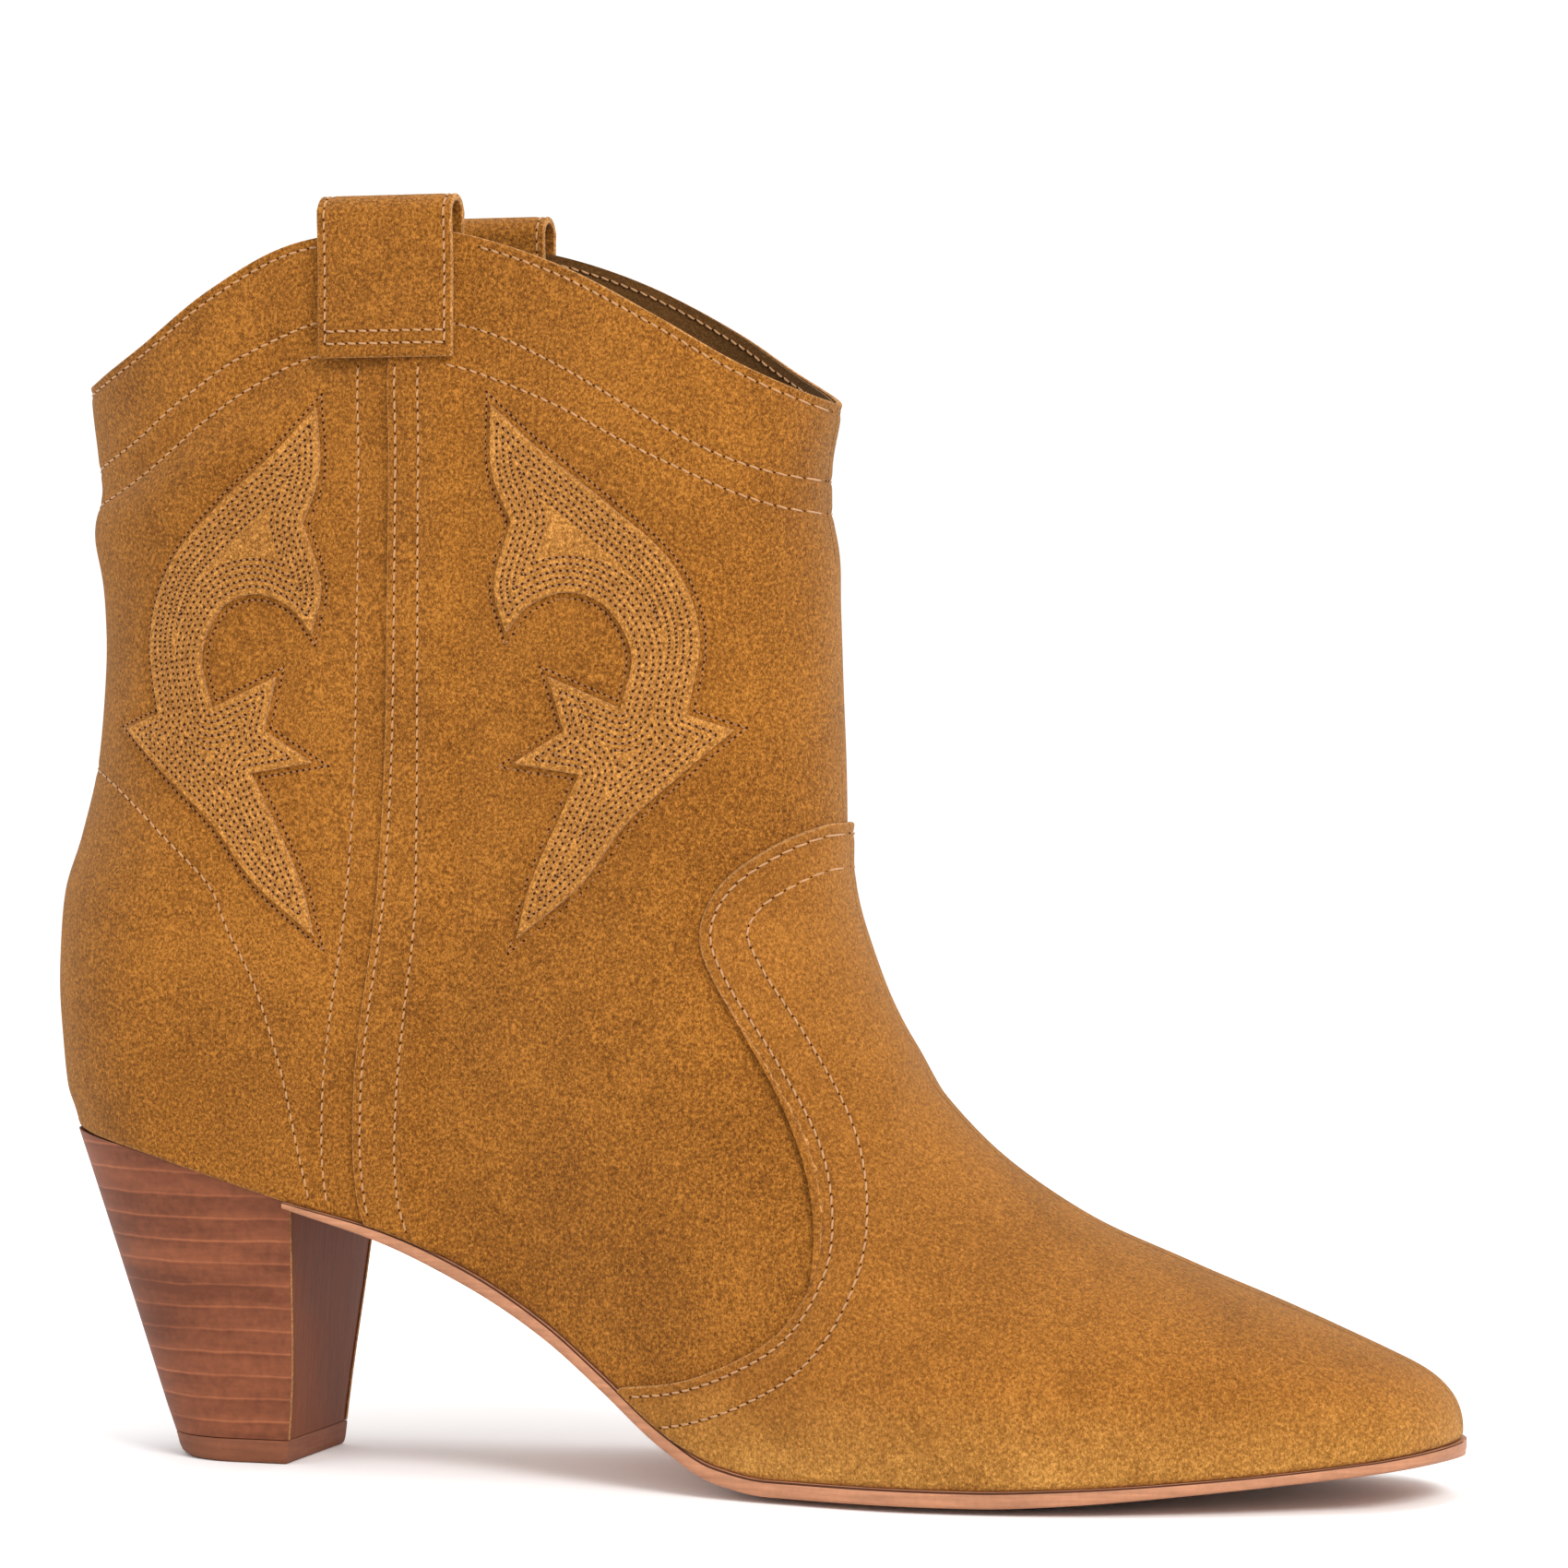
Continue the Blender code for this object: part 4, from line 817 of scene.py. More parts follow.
def inner_rows(distance):
    """The outline moved inwards, kept only where it stays that far from every edge."""
    outline = scroll_outline(0.6)
    closed = np.vstack([outline, outline[:1]])
    step = np.diff(closed, axis=0)
    inward = np.arctan2(-step[:, 0], step[:, 1])
    moved = []
    for point, before, after in zip(outline, np.roll(inward, 1), inward):
        turn = (after - before + math.pi) % (2 * math.pi) - math.pi
        fan = max(1, math.ceil(abs(turn) * distance / 0.6))
        angles = before + turn * np.arange(fan + 1) / fan
        moved += list(point + distance * np.stack([np.cos(angles), np.sin(angles)], 1))
    moved = np.array(moved)
    keep = np.abs(nearest(closed, moved)[0]) > distance - 0.06
    rows, row = [], []
    for k in range(len(moved)):
        linked = row and np.hypot(*(moved[k] - row[-1])) < 2.2
        if keep[k] and (linked or not row):
            row.append(moved[k])
        elif keep[k]:
            rows.append(row)
            row = [moved[k]]
    rows.append(row)
    return [np.array(r) for r in rows if len(r) > 5]


def mirrored_pattern(line):
    """The scroll's points moved to the back panel, mirrored and a little narrower."""
    moved = line.copy()
    moved[:, 0] = (FLAME_MIRROR_X - FLAME_SQUEEZE * (line[:, 0] - FLAME_MIRROR_X)
                   - FLAME_LEAN * (line[:, 1] - FLAME_LEAN_Z))
    return moved


scroll_inner = [row for step in INNER_ROW_STEPS for row in inner_rows(step)]
scroll_inner += [row for step in CORE_ROW_STEPS for row in inner_rows(step)
                 if row[:, 1].max() < CORE_TOP]
scroll_outer = outer_row(OUTER_ROW_STEP)
front_rows += scroll_outer
back_rows += [mirrored_pattern(row) for row in scroll_outer]


def scroll_mesh():
    """Side-view points and triangles of the scroll, dense at its cut edge, and its outline."""
    outline = scroll_outline(0.8 * FINE)
    closed = np.vstack([outline, outline[:1]])
    step = unit(np.roll(outline, -1, axis=0) - np.roll(outline, 1, axis=0))
    spots = []
    for distance in (0.14, EDGE_ROUNDING):
        moved = outline + distance * np.stack([step[:, 1], -step[:, 0]], 1)
        spots += list(moved[np.abs(nearest(closed, moved)[0]) > distance * 0.9])
    spacing = 0.6 * FINE
    across, up = np.meshgrid(np.arange(-49.0, 0.0, spacing), np.arange(100.0, 200.0, spacing))
    inside = np.column_stack([across.ravel(), up.ravel()])
    spots += list(inside[np.abs(nearest(closed, inside)[0]) > 0.85])
    spots = [Vector(p) for p in outline] + [Vector(p) for p in spots]
    count = len(outline)
    ring = [(k, (k + 1) % count) for k in range(count)]
    points, _, faces, *_ = delaunay_2d_cdt(spots, ring, [list(range(count))], 1, 1e-4)
    return np.array([tuple(p) for p in points]), [list(f) for f in faces], closed


def make_scrolls(looks):
    """The four scrolls, and their stitches as one piece."""
    xz, faces, closed = scroll_mesh()
    mirrored_rows = ([mirrored_pattern(row) for row in rows] for rows in (scroll_inner, scroll_outer))
    patterns = (("front", xz, closed, front_lift, scroll_inner, scroll_outer),
                ("back", mirrored_pattern(xz), mirrored_pattern(closed), back_top, *mirrored_rows))
    rows = []
    for place, pattern, border, base, inner_lines, outer_lines in patterns:
        grooves = row_grooves(inner_lines)(pattern)
        to_edge = np.abs(nearest(border, pattern)[0])
        points, normal = skin_frame(pattern)
        for side_name, side in (("lateral", LATERAL), ("medial", MEDIAL)):
            low = base(pattern) + relief(points, side)
            high = low + FLAME_HEIGHT - edge_drop(to_edge) - grooves
            outer, inner = (on_side(points, normal, h, side) for h in (high, low - 0.15))
            shell(f"scroll_{place}_{side_name}", faces, outer, inner, to_edge, looks[:2],
                  [f"flame_{place}_{side_name}"])
            top = on_leather(lowered(base, -FLAME_HEIGHT - 0.04), side)
            rows += [(row, MOTIF_PITCH, top) for row in inner_lines]
            rows += [(row, MOTIF_PITCH, on_leather(base, side)) for row in outer_lines]
    stitching("stitching_scrolls", rows, looks[2:], MOTIF_THREAD_RADIUS,
              MOTIF_HOLE_RADIUS)


# ---------------------------------------------------------------- the upper
def fine_share(length, closeups, spacing=0.8):
    """Even places from 0 to 1 for a length in mm, with extra ones near the ends in closeups."""
    share = np.linspace(0, 1, int(length / (spacing * FINE)))
    extra = np.array([0.12, 0.32, 0.6]) / length
    if "start" in closeups:
        share = np.concatenate([share, extra])
    if "end" in closeups:
        share = np.concatenate([share, 1 - extra])
    return np.unique(share)


def lap_columns(width):
    """Shifts from a lapping edge over a width, closing up at the edge."""
    return np.concatenate([np.arange(width, 0.7, -0.8 * FINE), [0.55, 0.3, 0.12, 0.0]])


def lapped_vamp_grid():
    """The vamp's grid, with its flat lap over the panel and the ramp down past it."""
    columns = int(150 / FINE)
    across = spread(columns)
    flat_end = cross_curve(PANEL_FOOT, LAP_FLAT)
    ramp_end = cross_curve(PANEL_FOOT, LAP_FLAT + LAP_RAMP)
    over_panel = between(cross_curve(VAMP_EDGE, 0.0), flat_end, across,
                         fine_share(20.0, ("start",)))
    ramp = between(flat_end, ramp_end, across, np.linspace(0, 1, int(8 / FINE)))
    rest = vamp_grid(LAP_FLAT + LAP_RAMP, toe_rows(columns, 1.35), columns)
    return np.concatenate([over_panel, ramp[1:-1], rest], 0)


def make_upper(body_look, vamp_look, edge_look):
    """The two shaft panels and the vamp that laps over them."""
    columns, both_ends = int(88 / FINE), ("start", "end")
    ramp_end = LAP_WIDTH + LAP_FLAT + LAP_RAMP
    back = back_grid(LAP_WIDTH, fine_share(165.0, both_ends), columns)
    front = front_grid(ramp_end, 0.0, fine_share(170.0, both_ends), columns,
                       lap_columns(ramp_end)[1:])
    vamp_edge = cross_curve(VAMP_EDGE, 0.0)
    for name, grid, height, edges, look, node, rows in (
            ("shaft_back", back, back_top, [top_curve], body_look, "shaft_back_panel", back_rows),
            ("shaft_front", front, front_lift, [top_curve, seam_curve(0.0)], body_look,
             "shaft_front_panel", front_rows),
            ("vamp", lapped_vamp_grid(), vamp_lift, [vamp_edge], vamp_look, "vamp", vamp_rows)):
        leather(f"{name}_leather", grid, lowered(height, PANEL_THICKNESS), PANEL_THICKNESS, edges,
                [look, edge_look], [node], row_grooves(rows))


def make_inside(facing, lining, thread_looks):
    """The collar facing and the linings behind the panels, and the stitches seen on the facing."""
    base = lowered(back_top, LINING_BACK)
    thickness = LINING_BACK - PANEL_THICKNESS - 0.05
    for look, slot, node, rows in (
            (facing, "facing", "collar_facing", np.linspace(0, COLLAR_BAND, 30)),
            (lining, "lining", "shaft_lining", np.linspace(COLLAR_BAND + 0.002, 0.985, 80))):
        for where, grid in (("back", back_grid((LAP_WIDTH - LAYER_GAP) / 2, rows, 60)),
                            ("front", front_grid((LAP_WIDTH + LAYER_GAP) / 2, 0.0, rows, 70))):
            leather(f"{node}_{where}_leather", grid, base, thickness, [top_curve], [look, look],
                    [f"{node}_{where}"])
    leather("vamp_lining_leather", vamp_grid(0.8, toe_rows(60, 1.5), 60), base, thickness, [],
            [lining, lining], ["vamp_lining"])
    face = lowered(back_top, LINING_BACK - GROOVE_DEPTH + 0.12)
    lines = (top_row(-139.0, -80.0), top_row(-53.0, 10.5), smooth_line(COLLAR_ROWS_FRONT[1]),
             smooth_line(COLLAR_ROWS_BACK[1]))
    rows = [(line, SEAM_PITCH, on_leather(face, side, True))
            for side in (LATERAL, MEDIAL) for line in lines]
    stitching("stitching_facing", rows, thread_looks)


def make_construction_stitches(thread_looks):
    """The rows of stitches on the upper, except round the scrolls."""
    for name, lines, height in (("front_panel", front_rows[:5], front_lift),
                                ("back_panel", back_rows[:5], back_top),
                                ("vamp", vamp_rows, vamp_thread)):
        rows = [(line, SEAM_PITCH, on_leather(height, side))
                for side in (LATERAL, MEDIAL) for line in lines]
        stitching(f"stitching_{name}", rows, thread_looks)


# ---------------------------------------------------------------- pull straps
def strap_path():
    """(depth, z) of the strap's middle: up the outside, over the top, down the inside."""
    outside = LAP_LIFT + STRAP_CLEARANCE + STRAP_THICKNESS / 2
    inside = -LINING_BACK - STRAP_CLEARANCE - STRAP_THICKNESS / 2
    radius = STRAP_LOOP_RADIUS
    centre = STRAP_TOP - STRAP_THICKNESS / 2 - radius
    middle = (outside + inside) / 2
    path = [(outside, z) for z in np.linspace(STRAP_FOOT_OUTSIDE, STRAP_BEND_Z, 6)]
    path += [(middle + radius, centre)]
    path += [(middle + radius * math.cos(angle), centre + radius * math.sin(angle))
             for angle in np.radians(np.linspace(20, 160, 7))]
    path += [(middle - radius, centre)]
    path += [(inside, z) for z in np.linspace(STRAP_BEND_Z, STRAP_FOOT_INSIDE, 7)]
    return curve(path, 6)


def strap_place(path, side, height):
    """Maps (x, distance along the strap) to points and normals at a height over its middle."""
    run = distances(path)
    slope = unit(np.gradient(path, axis=0))

    def place(spots):
        x, along = spots[:, 0], spots[:, 1]
        depth, z, tx, tz = (np.interp(along, run, column) for column in (*path.T, *slope.T))
        depth = depth + height * tz
        z = z - height * tx
        bend = half_width(np.full(len(x), STRAP_CENTRE_X), np.minimum(z, 232.0))
        crown = STRAP_CROWN * np.cos((x - STRAP_CENTRE_X) / STRAP_WIDTH * 3.0) * np.sin(along / 9.0)
        normal = np.column_stack([np.zeros(len(x)), side * tz, -tx])
        return np.column_stack([x, side * (bend + depth + crown), z]), normal
    return place


def make_strap(name, path, side, looks, stands_for):
    """One strap: a ribbon along the path, with rounded cut edges and pressed rows of stitches."""
    length = distances(path)[-1]
    half, radius = STRAP_WIDTH / 2, EDGE_ROUNDING
    inner = np.linspace(-half + radius, half - radius, int(34 / FINE))
    across = np.concatenate([[-half], -half + radius * np.array([0.2, 0.5]), inner,
                             half - radius * np.array([0.5, 0.2]), [half]])
    along = np.linspace(0.0, length, int(90 / FINE))
    along = np.unique(np.concatenate([along, [0.12, 0.35, length - 0.12, length - 0.35]]))
    grid_u, grid_s = np.meshgrid(across, along)
    rows, columns = grid_u.shape
    u, s = grid_u.ravel(), grid_s.ravel()
    to_edge = np.minimum(half - np.abs(u), np.minimum(s, length - s))
    groove = sum(GROOVE_DEPTH * np.exp(-(away / STRAP_GROOVE_WIDTH)**2)
                 for away in (half - np.abs(u) - STRAP_ROW, *(s - row for row in STRAP_FOOT_ROWS)))
    points, normal = strap_place(path, side, 0.0)(np.column_stack([STRAP_CENTRE_X + u, s]))
    sides = [points + face * normal * (STRAP_THICKNESS / 2 - edge_drop(to_edge) - depth)[:, None]
             for face, depth in ((1.0, groove), (-1.0, groove * 0.4))]
    count = rows * columns
    faces, marks = [], []
    for i in range(rows - 1):
        for j in range(columns - 1):
            a, b = i * columns + j, i * columns + j + 1
            c, d = b + columns, a + columns
            edge = int(to_edge[a] < CUT_EDGE and to_edge[c] < CUT_EDGE)
            faces += [(a, b, c, d), (d + count, c + count, b + count, a + count)]
            marks += [edge, edge]
    ids = np.arange(count).reshape(rows, columns)
    ring = [*ids[0], *ids[1:, -1], *ids[-1, -2::-1], *ids[-2:0:-1, 0]]
    ring = [int(k) for k in ring]
    for a, b in zip(ring, ring[1:] + ring[:1]):
        faces.append((b, a, a + count, b + count))
        marks.append(1)
    make_piece(name, np.vstack(sides), faces, looks, [stands_for], marks)


def make_straps(looks, thread_looks):
    """The outer and inner pull straps, and their stitches as one piece."""
    path = strap_path()
    half, length = STRAP_WIDTH / 2 - STRAP_ROW, distances(path)[-1]
    along = np.linspace(STRAP_FOOT_ROWS[0], length - 2.0, 200)
    across = STRAP_CENTRE_X + np.linspace(-half, half, 40)
    rows = []
    for name, side in (("lateral", LATERAL), ("medial", MEDIAL)):
        make_strap(f"pull_strap_{name}_leather", path, side, looks, f"pull_strap_{name}")
        place = strap_place(path, side, STRAP_THICKNESS / 2 - GROOVE_DEPTH + 0.05)
        lines = [np.column_stack([0 * along + STRAP_CENTRE_X + u, along]) for u in (-half, half)]
        lines += [np.column_stack([across, 0 * across + row]) for row in STRAP_FOOT_ROWS]
        rows += [(line, SEAM_PITCH, place) for line in lines]
    stitching("stitching_straps", rows, thread_looks)


# ---------------------------------------------------------------- bottom
def lofted(name, rings, looks, stands_for, ring_marks=None, sharp=40):
    """A closed solid through rings of equal size, with flat ends."""
    rings = np.asarray(rings)
    count, size = rings.shape[:2]
    faces, marks = [], []
    for i in range(count - 1):
        for k in range(size):
            n = (k + 1) % size
            faces.append((i * size + k, i * size + n, (i + 1) * size + n, (i + 1) * size + k))
            marks.append(ring_marks[k] if ring_marks is not None else 0)
    faces += [tuple(range(size - 1, -1, -1)), tuple(range((count - 1) * size, count * size))]
    marks += [0, 0]
    return make_piece(name, rings.reshape(-1, 3), faces, looks, stands_for, marks, sharp)


# Profile of the sole's edge, (out, up) from the feather line, and how many of its steps are dark.
SOLE_EDGE = ((-0.30, 0.0), (-0.06, -0.12), (0.0, -0.35), (0.05, -0.62), (0.12, -1.2), (0.14, -1.8),
             (0.06, -2.4), (-0.15, -2.8), (-0.5, -3.0))
SOLE_DARK_STEPS = 2


def sole_plan():
    """Half width of the sole at each x: the upper's plan moved out by the margin."""
    tip = TOE_POINT[0]
    x = tip - (tip + 100.0) * np.linspace(0, 1, 600)**2
    half = half_width(x, feather(x))
    half[0] = 0.0
    slope = unit(np.stack([np.gradient(x), np.gradient(half)], 1))
    plan_x, plan_half = x + SOLE_MARGIN * slope[:, 1], half - SOLE_MARGIN * slope[:, 0]
    plan_x[0], plan_half[0] = tip + SOLE_MARGIN, 0.0
    order = np.argsort(plan_x)
    return plan_x[order], plan_half[order]


def make_sole(leather_look, dark_look):
    """The sole with its edge, from the heel breast to the toe; its underside is domed."""
    breast = float(heel_breast(48.0)) + LAYER_GAP
    tip, toe_start = TOE_POINT[0] + SOLE_MARGIN - 0.02, 60.0
    x = np.concatenate([np.linspace(breast, toe_start, int(120 / FINE))[:-1],
                        toe_start + (tip - toe_start) * toe_rows(int(110 / FINE), 2)])
    half = np.interp(x, *sole_plan())
    across = np.linspace(-1, 1, 41)[1:-1]
    rings = []
    for station, width in zip(x, half):
        top = float(feather(station))
        shrink = min(1.0, width / 2.0)
        y = centre_y(np.array([station]), np.array([top]))[0]
        thin = float(sole_thickness(station)) / SOLE_THICKNESS
        right = [(station, y + width + w * shrink, top + h * thin) for w, h in SOLE_EDGE]
        flat = width + SOLE_EDGE[-1][0] * shrink
        dome = SOLE_THICKNESS + SOLE_DOME * smoothstep((1 - np.abs(across)) / 0.27)
        under = [(station, y - flat * a, top - thin * depth) for a, depth in zip(across, dome)]
        left = [(station, 2 * y - p[1], p[2]) for p in right[::-1]]
        rings.append(right + under + left)
    total = len(rings[0])
    marks = [int(k < SOLE_DARK_STEPS or total - 2 - k in range(SOLE_DARK_STEPS))
             for k in range(total)]
    lofted("sole_leather", rings, [leather_look, dark_look], ["outsole"], marks)


def inner_plan(x):
    """Half width of the inner boards, which follow the upper's plan at a smaller size."""
    back, front = BACK_LINE[1][0], TOE_POINT[0]
    scale = (front - back) / (front - back - 2 * INNER_INSET)
    outer_x = (back + front) / 2 + (x - (back + front) / 2) * scale
    return half_width(outer_x, feather(outer_x) + 3.0) * (1 - INNER_INSET / 27.0)


def board_rings(x, half, middle, low, high, rounding):
    """Rings of a board across the boot with rounded sides."""
    bend = np.radians([90, 60, 30, 0, -30, -60, -90])
    across = np.linspace(-0.9, 0.9, 19)
    rings = []
    for station, width, y, bottom, top in zip(x, half, middle, low, high):
        centre, tall = (bottom + top) / 2, (top - bottom) / 2
        flat = width - rounding
        right = [(station, y + flat + rounding * math.cos(b), centre + tall * math.sin(b))
                 for b in bend]
        left = [(station, 2 * y - p[1], p[2]) for p in right[::-1]]
        under = [(station, y - a * flat, bottom) for a in across]
        over = [(station, y + a * flat, top) for a in across]
        rings.append(right + under + left + over)
    return rings


def sock_low(x):
    """Underside of the sock lining: it rises over the heel pad."""
    over_pad = 1 - smoothstep((x - PAD_FRONT_X - 1.0) / 22.0)
    rise = PAD_LOW + PAD_THICKNESS + PAD_COVER_GAP - SOCK_LOW
    return feather(x) + SOCK_LOW + rise * over_pad


def rounded_stations(back, front, count):
    """Stations that close up towards both ends."""
    return back + (front - back) * (1 - np.cos(np.linspace(0, math.pi, count))) / 2


def make_inner_boards(sock_look, foam_look):
    """The sock lining and the soft pad under its heel."""
    back = BACK_LINE[1][0] + INNER_INSET + 0.6
    front = TOE_POINT[0] - INNER_INSET - 2.6
    x = rounded_stations(back, front, int(130 / FINE))
    middle = centre_y(x, feather(x))
    half = np.maximum(inner_plan(x) - 0.4, 0.6)
    low = sock_low(x)
    lofted("sock_leather", board_rings(x, half, middle, low, low + SOCK_THICKNESS, 0.45),
           [sock_look], ["sock_lining"])

    x = rounded_stations(PAD_BACK_X, PAD_FRONT_X, int(60 / FINE))
    share = (x - PAD_BACK_X) / (PAD_FRONT_X - PAD_BACK_X)
    half = (inner_plan(x) - 3.0) * np.sqrt(np.clip(1 - (2 * share - 1)**6, 0.03, 1))
    low = feather(x) + PAD_LOW
    crown = PAD_THICKNESS * (0.55 + 0.45 * np.clip(1 - (2 * share - 1)**4, 0, 1)**0.5)
    pad = lofted("heel_pad_foam", board_rings(x, half, 0 * x, low, low + crown, 1.1), [foam_look],
                 ["heel_pad"])


# ---------------------------------------------------------------- heel
def heel_outline(z, inset, share):
    """(x, y) round the heel at height z: share 0 and 1 are the two breast corners."""
    breast = heel_breast(z)
    back = heel_back(z) + inset
    half = heel_half(z) - inset
    corner = breast - 0.38 * (breast - back)
    turn = (np.clip((share - HEEL_FLAT) / (1 - 2 * HEEL_FLAT), 0, 1) - 0.5) * math.pi
    along_flat = np.minimum(share, 1 - share) / HEEL_FLAT
    x = np.where(along_flat < 1, breast + (corner - breast) * along_flat,
                 corner - (corner - back) * np.cos(turn))
    y = half * np.sign(turn) * np.abs(np.sin(turn))**0.9
    return x, y


def heel_cover_rings(inset, rows, count):
    """Rings from under the slanted seat down to the flat heel cap."""
    shares = np.linspace(0, 1, count)
    rings = []
    for t in rows:
        z = np.full(count, 55.0)
        for _ in range(14):
            x, y = heel_outline(z, inset, shares)
            z = (feather(x) - LAYER_GAP) * (1 - t) + (CAP_THICKNESS + LAYER_GAP) * t
        rings.append(np.column_stack([x, y, z]))
    return rings


# Rings of the heel cap: height, and how far in from the heel's outline.
CAP_PROFILE = ((0.0, 1.0), (0.12, 0.55), (0.45, 0.2), (1.0, 0.05), (2.0, 0.0), (3.4, 0.0),
               (4.2, 0.0), (4.5, 0.12), (CAP_THICKNESS, 0.35))


def make_heel(stack_look, edge_look, breast_look, cap_look):
    """The heel's stacked cover, its breast cover and its cap."""
    count, rows = int(140 / FINE), np.linspace(0, 1, int(100 / FINE))
    rings = []
    for outer, inner in zip(heel_cover_rings(0.0, rows, count),
                            heel_cover_rings(COVER_THICKNESS, rows, count)):
        outer[[0, -1], 1] *= 0.992
        rings.append(np.vstack([outer, inner[::-1]]))
    marks = [0] * (2 * count)
    marks[count - 1] = marks[-1] = 1
    lofted("heel_stack_leather", rings, [stack_look, edge_look], ["heel_wrap"],
           marks, 35)

    seat = float(feather(-90.5)) - LAYER_GAP - 0.2
    rings = []
    across = np.linspace(-1, 1, 25)
    for t in np.linspace(0, 1, int(60 / FINE)):
        z = seat * (1 - t) + (CAP_THICKNESS + LAYER_GAP) * t
        half = float(heel_half(z)) - COVER_THICKNESS - LAYER_GAP
        x = float(heel_breast(z))
        face = [(x - 0.25 * a**8, half * a, z) for a in across]
        rings.append(face + [(x - COVER_THICKNESS, half * a, z) for a in across[::-1]])
    lofted("heel_breast_leather", rings, [breast_look], ["heel_breast_cover"])

    rings = []
    shares = np.linspace(0, 1, count)
    for z, inset in CAP_PROFILE:
        breast = float(heel_breast(z))
        x, y = heel_outline(np.full(count, z), inset, shares)
        x = np.minimum(x, breast - inset * 0.6)
        x = x + smoothstep((breast - 14.0 - x) / 12.0) * 0.8 * max(0.0, 1 - z / 1.4)
        rings.append(np.column_stack([x, y, np.full(count, z)]))
    lofted("heel_cap_leather", rings, [cap_look], ["heel_cap"], sharp=35)


# ---------------------------------------------------------------- materials
class Nodes:
    """A material's node tree, with short helpers."""

    def __init__(self, name, **sockets):
        self.material = bpy.data.materials.new(name)
        self.material.use_nodes = True
        self.tree = self.material.node_tree
        self.shader = self.tree.nodes["Principled BSDF"]
        for socket, value in sockets.items():
            self.shader.inputs[socket.replace("_", " ")].default_value = value
        self.place = self.tree.nodes.new("ShaderNodeTexCoord").outputs["Object"]

    def node(self, kind, values=(), **links):
        """A new node, with values set on and outputs linked to its sockets."""
        node = self.tree.nodes.new(f"ShaderNode{kind}")
        for socket, value in values:
            node.inputs[socket].default_value = value
        for socket, source in links.items():
            self.tree.links.new(source, node.inputs[socket])
        return node

    def mapped(self, scale):
        """The object's own coordinates, stretched along its axes."""
        return self.node("Mapping", [("Scale", scale)], Vector=self.place).outputs["Vector"]

    def noise(self, scale, detail=2.0, roughness=0.5, distortion=0.0, vector=None):
        values = [("Scale", scale), ("Detail", detail), ("Roughness", roughness),
                  ("Distortion", distortion)]
        return self.node("TexNoise", values, Vector=vector or self.place).outputs["Fac"]

    def voronoi(self, scale):
        return self.node("TexVoronoi", [("Scale", scale)], Vector=self.place).outputs["Distance"]

    def math(self, operation, first, second=0.0, third=0.0):
        node = self.node("Math")
        node.operation = operation
        for socket, value in zip(node.inputs, (first, second, third)):
            if isinstance(value, (int, float)):
                socket.default_value = value
            else:
                self.tree.links.new(value, socket)
        return node.outputs[0]

    def blend(self, parts, centre=0.5):
        """centre plus each (value, weight), with the values centred on a half."""
        total = centre - 0.5 * sum(weight for _, weight in parts)
        for value, weight in parts:
            total = self.math("MULTIPLY_ADD", value, weight, total)
        return total

    def ramp(self, value, stops):
        node = self.node("ValToRGB", Fac=value)
        ramp = node.color_ramp
        while len(ramp.elements) < len(stops):
            ramp.elements.new(0.5)
        for element, (position, colour) in zip(ramp.elements, stops):
            element.position = position
            element.color = (*colour, 1.0)
        return node.outputs["Color"]

    def toned(self, value, tone, stops):
        """One tone by value, darker and lighter: stops are (value, share of the tone)."""
        return self.ramp(value, [(place, [c * share for c in tone]) for place, share in stops])

    def mix(self, share, first, second):
        """Goes from the first colour to the second with share."""
        node = self.node("Mix")
        node.data_type = "RGBA"
        colour_sockets = [socket for socket in node.inputs if socket.type == "RGBA"]
        for source, socket in zip((share, first, second), (node.inputs["Factor"], *colour_sockets)):
            self.tree.links.new(source, socket)
        return next(out for out in node.outputs if out.type == "RGBA")

    def axis(self, name):
        return self.node("SeparateXYZ", Vector=self.place).outputs[name]

    def spread(self, value, low, high):
        """The value's 0 to 1 mapped to low to high."""
        ends = [("To Min", low), ("To Max", high)]
        return self.node("MapRange", ends, Value=value).outputs["Result"]

    def bump(self, height, strength, distance):
        node = self.node("Bump", [("Strength", strength), ("Distance", distance)], Height=height)
        self.tree.links.new(node.outputs["Normal"], self.shader.inputs["Normal"])

    def finish(self, colour, roughness=None):
        """The material with its colour, and its roughness unless that is one number."""
        self.tree.links.new(colour, self.shader.inputs["Base Color"])
        if roughness is not None:
            self.tree.links.new(roughness, self.shader.inputs["Roughness"])
        return self.material


# Shares of a suede's tone for its dark and light nap, and of each for the painted bounce light from
# the floor low down.
DARK_NAP, LIGHT_NAP, BOUNCE_LIGHT_SHARES = (0.42, 0.36, 0.30), (1.95, 2.15, 2.6), (1.4, 1.75, 2.4)
BOUNCE_LIGHT_HEIGHT = 0.022      # painted bounce light: below this height over the floor the suede is drawn lighter, in metres
